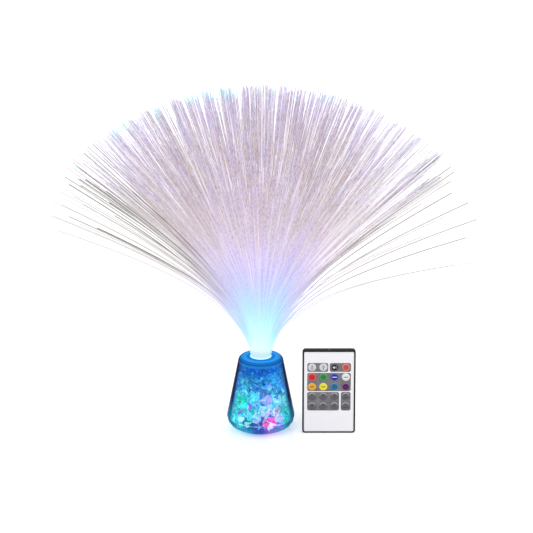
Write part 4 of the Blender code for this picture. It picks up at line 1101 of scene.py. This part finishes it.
lit_tip = product(tree, cyan_tip, levels(tree, along, 0, 1, 0.98, 0.99))
shade = mixed(tree, lit_tip, shade, (0.34, 0.68, 0.74))
give(tree, shader, Base_Color=shade, Emission_Color=shade)
given = levels(tree, along, 0.3, 0.38, 0.05, 0.5)
given_far = levels(tree, along, 1, 0.68, 0.5, 0.9)
strength = product(tree, product(tree, given, given_far), levels(tree, grey_share, 1, 0.6, 0.0, 0.9))
give(tree, shader, Emission_Strength=strength, Roughness=0.3)
print("strand finish:", len(tree.nodes), "nodes")

# %% [markdown]
# ## Slug of resin
# Inside the plug the strands are cast into clear resin, cut off level and polished, so that the light
# enters them all. The slug is turned, and it glows faintly where it shows between the strands' feet.

# %% Slug of resin
SLUG_RADIUS = 10 * MM
SLUG_FOOT = 58 * MM
slug_finish, tree, shader, own_place = new_finish("slug_resin")
patches = speckle(tree, own_place, 0.7 * MM, 3)
paint = colours(tree, patches, (0.3, (0.6, 0.93, 0.92)), (0.7, (0.85, 1.0, 0.97)))
give(tree, shader, Base_Color=paint, Emission_Color=paint)
give(tree, shader, Emission_Strength=levels(tree, patches, 0.3, 0.5))
give(tree, shader, Roughness=levels(tree, patches, 0.2, 0.4))
top = STRAND_FOOT - 0.05 * MM
slug_outline = [(0, SLUG_FOOT), (SLUG_RADIUS - 0.4 * MM, SLUG_FOOT), (SLUG_RADIUS, SLUG_FOOT + 0.4 * MM)]
slug_outline += [(SLUG_RADIUS, top - 0.3 * MM), (SLUG_RADIUS - 0.3 * MM, top), (0, top)]
mesh = turned_mesh("slug", slug_outline)
shade_up_to(mesh, 30)
show("slug", mesh, slug_finish, "spray", "fibre_clear", "fibre_spray")
print("slug", len(mesh.polygons), "faces")

# %% Put the strands in
PARTS_OF_SPRAY = 3
for number in range(PARTS_OF_SPRAY):
    chosen = np.arange(number, STRAND_COUNT, PARTS_OF_SPRAY)
    mesh = strand_mesh(f"strands_{number + 1}", chosen)
    show(mesh.name, mesh, strand_finish, "spray", "fibre_clear", "fibre_spray")

# %% [markdown]
# ## The remote
# The card remote has a thin black case, a white face with grey printed fields, and twenty domed keys in
# round holes. The face and the prints are flat shapes with many holes. A filled two-dimensional curve
# is the easy way to them: every closed line inside another one becomes a hole. The keys are turned on
# the lathe, each with its own finish, and each rides on its own body, so that it can be pressed.

# %% Where the remote stands
REMOTE_SIZE = (52 * MM, 87 * MM)
REMOTE_SPOT = Vector((66.6, -11.5, 0)) * MM
FIRST_KEY = (9.5, 17.6)
KEY_PITCH = (11, 10.2)
remote_place = Matrix.Translation(REMOTE_SPOT) @ Matrix.Rotation(math.pi / 2, 4, "X")


def on_face(left, top):
    """A point of the face, from millimetres right of its left side and below its top."""
    return left * MM - REMOTE_SIZE[0] / 2, REMOTE_SIZE[1] - top * MM


KEY_ROWS = (
    ("key_brighter", "key_dimmer", "key_sound", "key_power"),
    ("key_red", "key_green", "key_blue", "key_white"),
    ("key_orange", "key_yellow", "key_cyan", "key_purple"),
    ("key_mode_1", "key_mode_2", "key_mode_3", "key_faster"),
    ("key_mode_4", "key_mode_5", "key_mode_6", "key_slower"),
)
key_middles = {}
for row, names in enumerate(KEY_ROWS):
    for column, name in enumerate(names):
        left = FIRST_KEY[0] + KEY_PITCH[0] * column
        key_middles[name] = on_face(left, FIRST_KEY[1] + KEY_PITCH[1] * row)
print(len(key_middles), "keys")

# %% Flat shapes with holes


def rounded_rectangle(left, top, right, bottom, corner):
    """The outline of a rounded rectangle on the face, from millimetres as on_face takes them."""
    points = []
    first, last = left + corner, right - corner
    high, low = top + corner, bottom - corner
    for quarter, middle in enumerate(((last, high), (first, high), (first, low), (last, low))):
        points += arc(on_face(*middle), corner * MM, 90 * quarter, 90 * quarter + 90, 6)
    return points


def flat_mesh(name, loops, low, high):
    """A flat shape from low to high above the remote's back. Loops inside others are holes."""
    curve = bpy.data.curves.new(name, "CURVE")
    curve.dimensions = "2D"
    curve.fill_mode = "BOTH"
    curve.extrude = (high - low) / 2
    for loop in loops:
        spline = curve.splines.new("POLY")
        spline.points.add(len(loop) - 1)
        spline.use_cyclic_u = True
        for point, (across, up) in zip(spline.points, loop):
            point.co = (across, up, 0, 1)
    holder = bpy.data.objects.new(name, curve)
    mesh = bpy.data.meshes.new_from_object(holder)
    bpy.data.objects.remove(holder)
    bpy.data.curves.remove(curve)
    mesh.transform(Matrix.Translation((0, 0, (low + high) / 2)))
    return mesh


def show_on_remote(name, mesh, material, body, slot, *replaced):
    """A piece drawn in the remote's own coordinates."""
    piece = show(name, mesh, material, body, slot, *replaced)
    piece.matrix_world = remote_place
    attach(piece, body)
    return piece


print("flat shapes ready")

# %% Face and printed fields
FACE_FOOT = 5.65 * MM
FACE_TOP = 6.4 * MM
PRINT = 0.05 * MM
FACE_HOLE = 4.3 * MM
PLATE_HOLE = 4.25 * MM
FIELD_HOLE = 4.12 * MM
FIELDS = (
    (4.8, 13.05, 25.3, 22.4),
    (26.7, 13.05, 47.4, 22.4),
    (4.8, 23.5, 47.4, 42.65),
    (4.8, 43.6, 36.05, 63.15),
    (37.7, 43.6, 47.3, 63.15),
)
face_finish = solid_finish("remote_panel_pale", (0.94, 0.94, 0.95), (0.2, 0.3), drift=0.015)
plate_finish = solid_finish("face_print", (0.97, 0.96, 1.0), (0.25, 0.4), drift=0.0)
field_finish = solid_finish("field_grey", (0.145, 0.14, 0.155), (0.35, 0.5), drift=0.08)


def key_holes(radius, left=0, top=0, right=52, bottom=87):
    """Round holes for the keys whose middles lie inside the bounds."""
    low = on_face(left, bottom)
    high = on_face(right, top)
    inside = [m for m in key_middles.values() if low[0] < m[0] < high[0] and low[1] < m[1] < high[1]]
    return [arc(middle, radius, 0, 352.5, 47) for middle in inside]


face_loops = [rounded_rectangle(1.7, 1.7, 50.3, 85.3, 1.3), *key_holes(FACE_HOLE)]
face_mesh = flat_mesh("face", face_loops, FACE_FOOT, FACE_TOP)
show_on_remote("face", face_mesh, face_finish, "remote", "remote_panel_pale", "remote_panel")
plate_loops = [rounded_rectangle(3, 3.4, 49.1, 83.8, 0.8), *key_holes(PLATE_HOLE)]
plate_mesh = flat_mesh("face_plate", plate_loops, FACE_TOP - PRINT, FACE_TOP + PRINT)
show_on_remote("face_plate", plate_mesh, plate_finish, "remote", "remote_panel_pale")
for number, bounds in enumerate(FIELDS):
    loops = [rounded_rectangle(*bounds, 1.9), *key_holes(FIELD_HOLE, *bounds)]
    mesh = flat_mesh(f"field_{number + 1}", loops, FACE_TOP, FACE_TOP + 2 * PRINT)
    show_on_remote(mesh.name, mesh, field_finish, "remote", "key_grey")
print("face with", len(FIELDS), "fields")

# %% Keys
KEY_COLOURS = {
    "key_brighter": (0.72, 0.73, 0.76),
    "key_dimmer": (0.72, 0.73, 0.76),
    "key_sound": (0.012, 0.012, 0.014),
    "key_power": (0.78, 0.13, 0.09),
    "key_red": (0.72, 0.02, 0.02),
    "key_green": (0.02, 0.28, 0.05),
    "key_blue": (0.01, 0.03, 0.36),
    "key_white": (0.88, 0.88, 0.88),
    "key_orange": (0.88, 0.42, 0.015),
    "key_yellow": (0.92, 0.82, 0.03),
    "key_cyan": (0.004, 0.17, 0.36),
    "key_purple": (0.1, 0.006, 0.13),
}
KEY_TOP = 7 * MM
KEY_RADIUS = 4 * MM
KEY_GREY = (0.14, 0.135, 0.145)


def key_finish(name, colour):
    """Glossy rubber, with a paler ring round the dome that is a painted highlight, and a darker outer edge.
    """
    material, tree, shader, own_place = new_finish(name)
    out = levels(tree, reach_of(tree, own_place), 0, 1, 0, KEY_RADIUS)
    # The paler ring is a painted highlight on the dome; on grey keys it is kept to the upper half, where the
    # light falls.
    ring = lighter(colour, 0.5 if colour == KEY_GREY else 0.25)
    paint = colours(tree, out, (0.78, colour), (0.85, ring), (0.93, ring), (0.98, lighter(colour, -0.3)))
    if colour == KEY_GREY:
        up = part_of(tree, own_place, "Y")
        lit_top_share = levels(tree, up, 0, 1, -0.1 * KEY_RADIUS, 0.7 * KEY_RADIUS)
        paint = mixed(tree, lit_top_share, colour, paint)
    give(tree, shader, Base_Color=paint)
    fine = speckle(tree, own_place, 0.5 * MM, 3)
    give(tree, shader, Roughness=levels(tree, fine, 0.25, 0.4), Specular_IOR_Level=0.15)
    relief(tree, shader, fine, 0.01 * MM)
    return material


brim = KEY_RADIUS + 0.5 * MM
brim_top = 5.35 * MM
brim_foot = 5.1 * MM
key_outline = [(0, KEY_TOP), *arc((KEY_RADIUS - 1.1 * MM, KEY_TOP - 0.6 * MM), 0.6 * MM, 90, 30, 5)]
key_outline += [(KEY_RADIUS - 0.25 * MM, KEY_TOP - 0.42 * MM), (KEY_RADIUS, KEY_TOP - 0.62 * MM)]
key_outline += [(KEY_RADIUS, brim_top), (brim, brim_top), (brim, brim_foot), (0, brim_foot)]
for name, middle in key_middles.items():
    colour = KEY_COLOURS.get(name, KEY_GREY)
    slot = name if name in KEY_COLOURS else "key_grey"
    mesh = turned_mesh(name + "_dome", key_outline, 48)
    shade_up_to(mesh, 50)
    key = show(mesh.name, mesh, key_finish(name, colour), name, slot, name)
    key.matrix_world = remote_place @ Matrix.Translation((*middle, 0))
    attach(key, name)
print(len(key_middles), "domed keys")

# %% [markdown]
# ## Marks on the keys
# The signs are flat shapes too, printed on the domes. Six keys have plain numbers, from the font that
# comes with the tool, the coloured keys have a short bar, and the rest have simple signs.

# %% Marks on the keys
MARK_DARK = solid_finish("mark_dark", (0.03, 0.03, 0.035), (0.4, 0.5), drift=0.01)
MARK_PALE = solid_finish("mark_pale", (0.85, 0.85, 0.87), (0.4, 0.5), drift=0.02)


def ring_loops(radius, width):
    outside = arc((0, 0), (radius + width / 2) * MM, 0, 352.5, 47)
    return [outside, arc((0, 0), (radius - width / 2) * MM, 0, 345, 23)]


def polygon(*points):
    return [(x * MM, y * MM) for x, y in points]


def bar(left, low, right, high):
    return polygon((left, low), (right, low), (right, high), (left, high))


def moved(loops, across, up):
    return [[(x + across * MM, y + up * MM) for x, y in loop] for loop in loops]


def numeral(text, tall):
    """The outlines of a plain number, in the font that comes with the tool."""
    curve = bpy.data.curves.new("numeral", "FONT")
    curve.body = text
    curve.size = tall
    curve.align_x = "CENTER"
    curve.align_y = "CENTER"
    curve.offset = 0.02 * tall
    curve.extrude = PRINT / 2
    holder = bpy.data.objects.new("numeral", curve)
    mesh = bpy.data.meshes.new_from_object(holder)
    bpy.data.objects.remove(holder)
    bpy.data.curves.remove(curve)
    mesh.transform(Matrix.Translation((0, 0, KEY_TOP)))
    return mesh


UP = polygon((-0.9, -0.6), (0.9, -0.6), (0, 0.9))
DOWN = polygon((-0.9, 0.6), (0, -0.9), (0.9, 0.6))
SPEAKER = polygon((-1.9, -0.6), (-1.1, -0.6), (-0.1, -1.5), (-0.1, 1.5), (-1.1, 0.6), (-1.9, 0.6))
LINE = [bar(-2.2, -0.42, 2.2, 0.42)]
MARKS = {
    "key_brighter": moved([UP], 0, 1.6) + moved(ring_loops(1.0, 0.45), 0, -0.9),
    "key_dimmer": moved([DOWN], 0, -1.6) + moved(ring_loops(1.0, 0.45), 0, 0.9),
    "key_sound": [SPEAKER, bar(0.5, -0.7, 0.85, 0.7), bar(1.3, -1.2, 1.65, 1.2)],
    "key_power": ring_loops(1.5, 0.55) + [bar(-0.25, -0.3, 0.25, 0.9)],
    "key_faster": moved([UP], 0, 1.2) + [bar(-2.2, -1.6, 2.2, -0.8)],
    "key_slower": moved([DOWN], 0, 1.2) + [bar(-2.2, -1.6, 2.2, -0.8)],
}
for name, middle in key_middles.items():
    if "mode" in name:
        mesh = numeral(name[-1], 4.2 * MM)
        mesh.name = name + "_mark"
    else:
        mesh = flat_mesh(name + "_mark", MARKS.get(name, LINE), KEY_TOP - PRINT / 2, KEY_TOP + PRINT / 2)
    on_dark = name in ("key_sound", "key_blue")
    material, slot = (MARK_PALE, "remote_panel_pale") if on_dark else (MARK_DARK, "remote_black")
    mark = show(mesh.name, mesh, material, name, slot)
    mark.matrix_world = remote_place @ Matrix.Translation((*middle, 0))
    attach(mark, name)
print(len(key_middles), "marks")

# %% Finish
scene.view_settings.view_transform = "Standard"
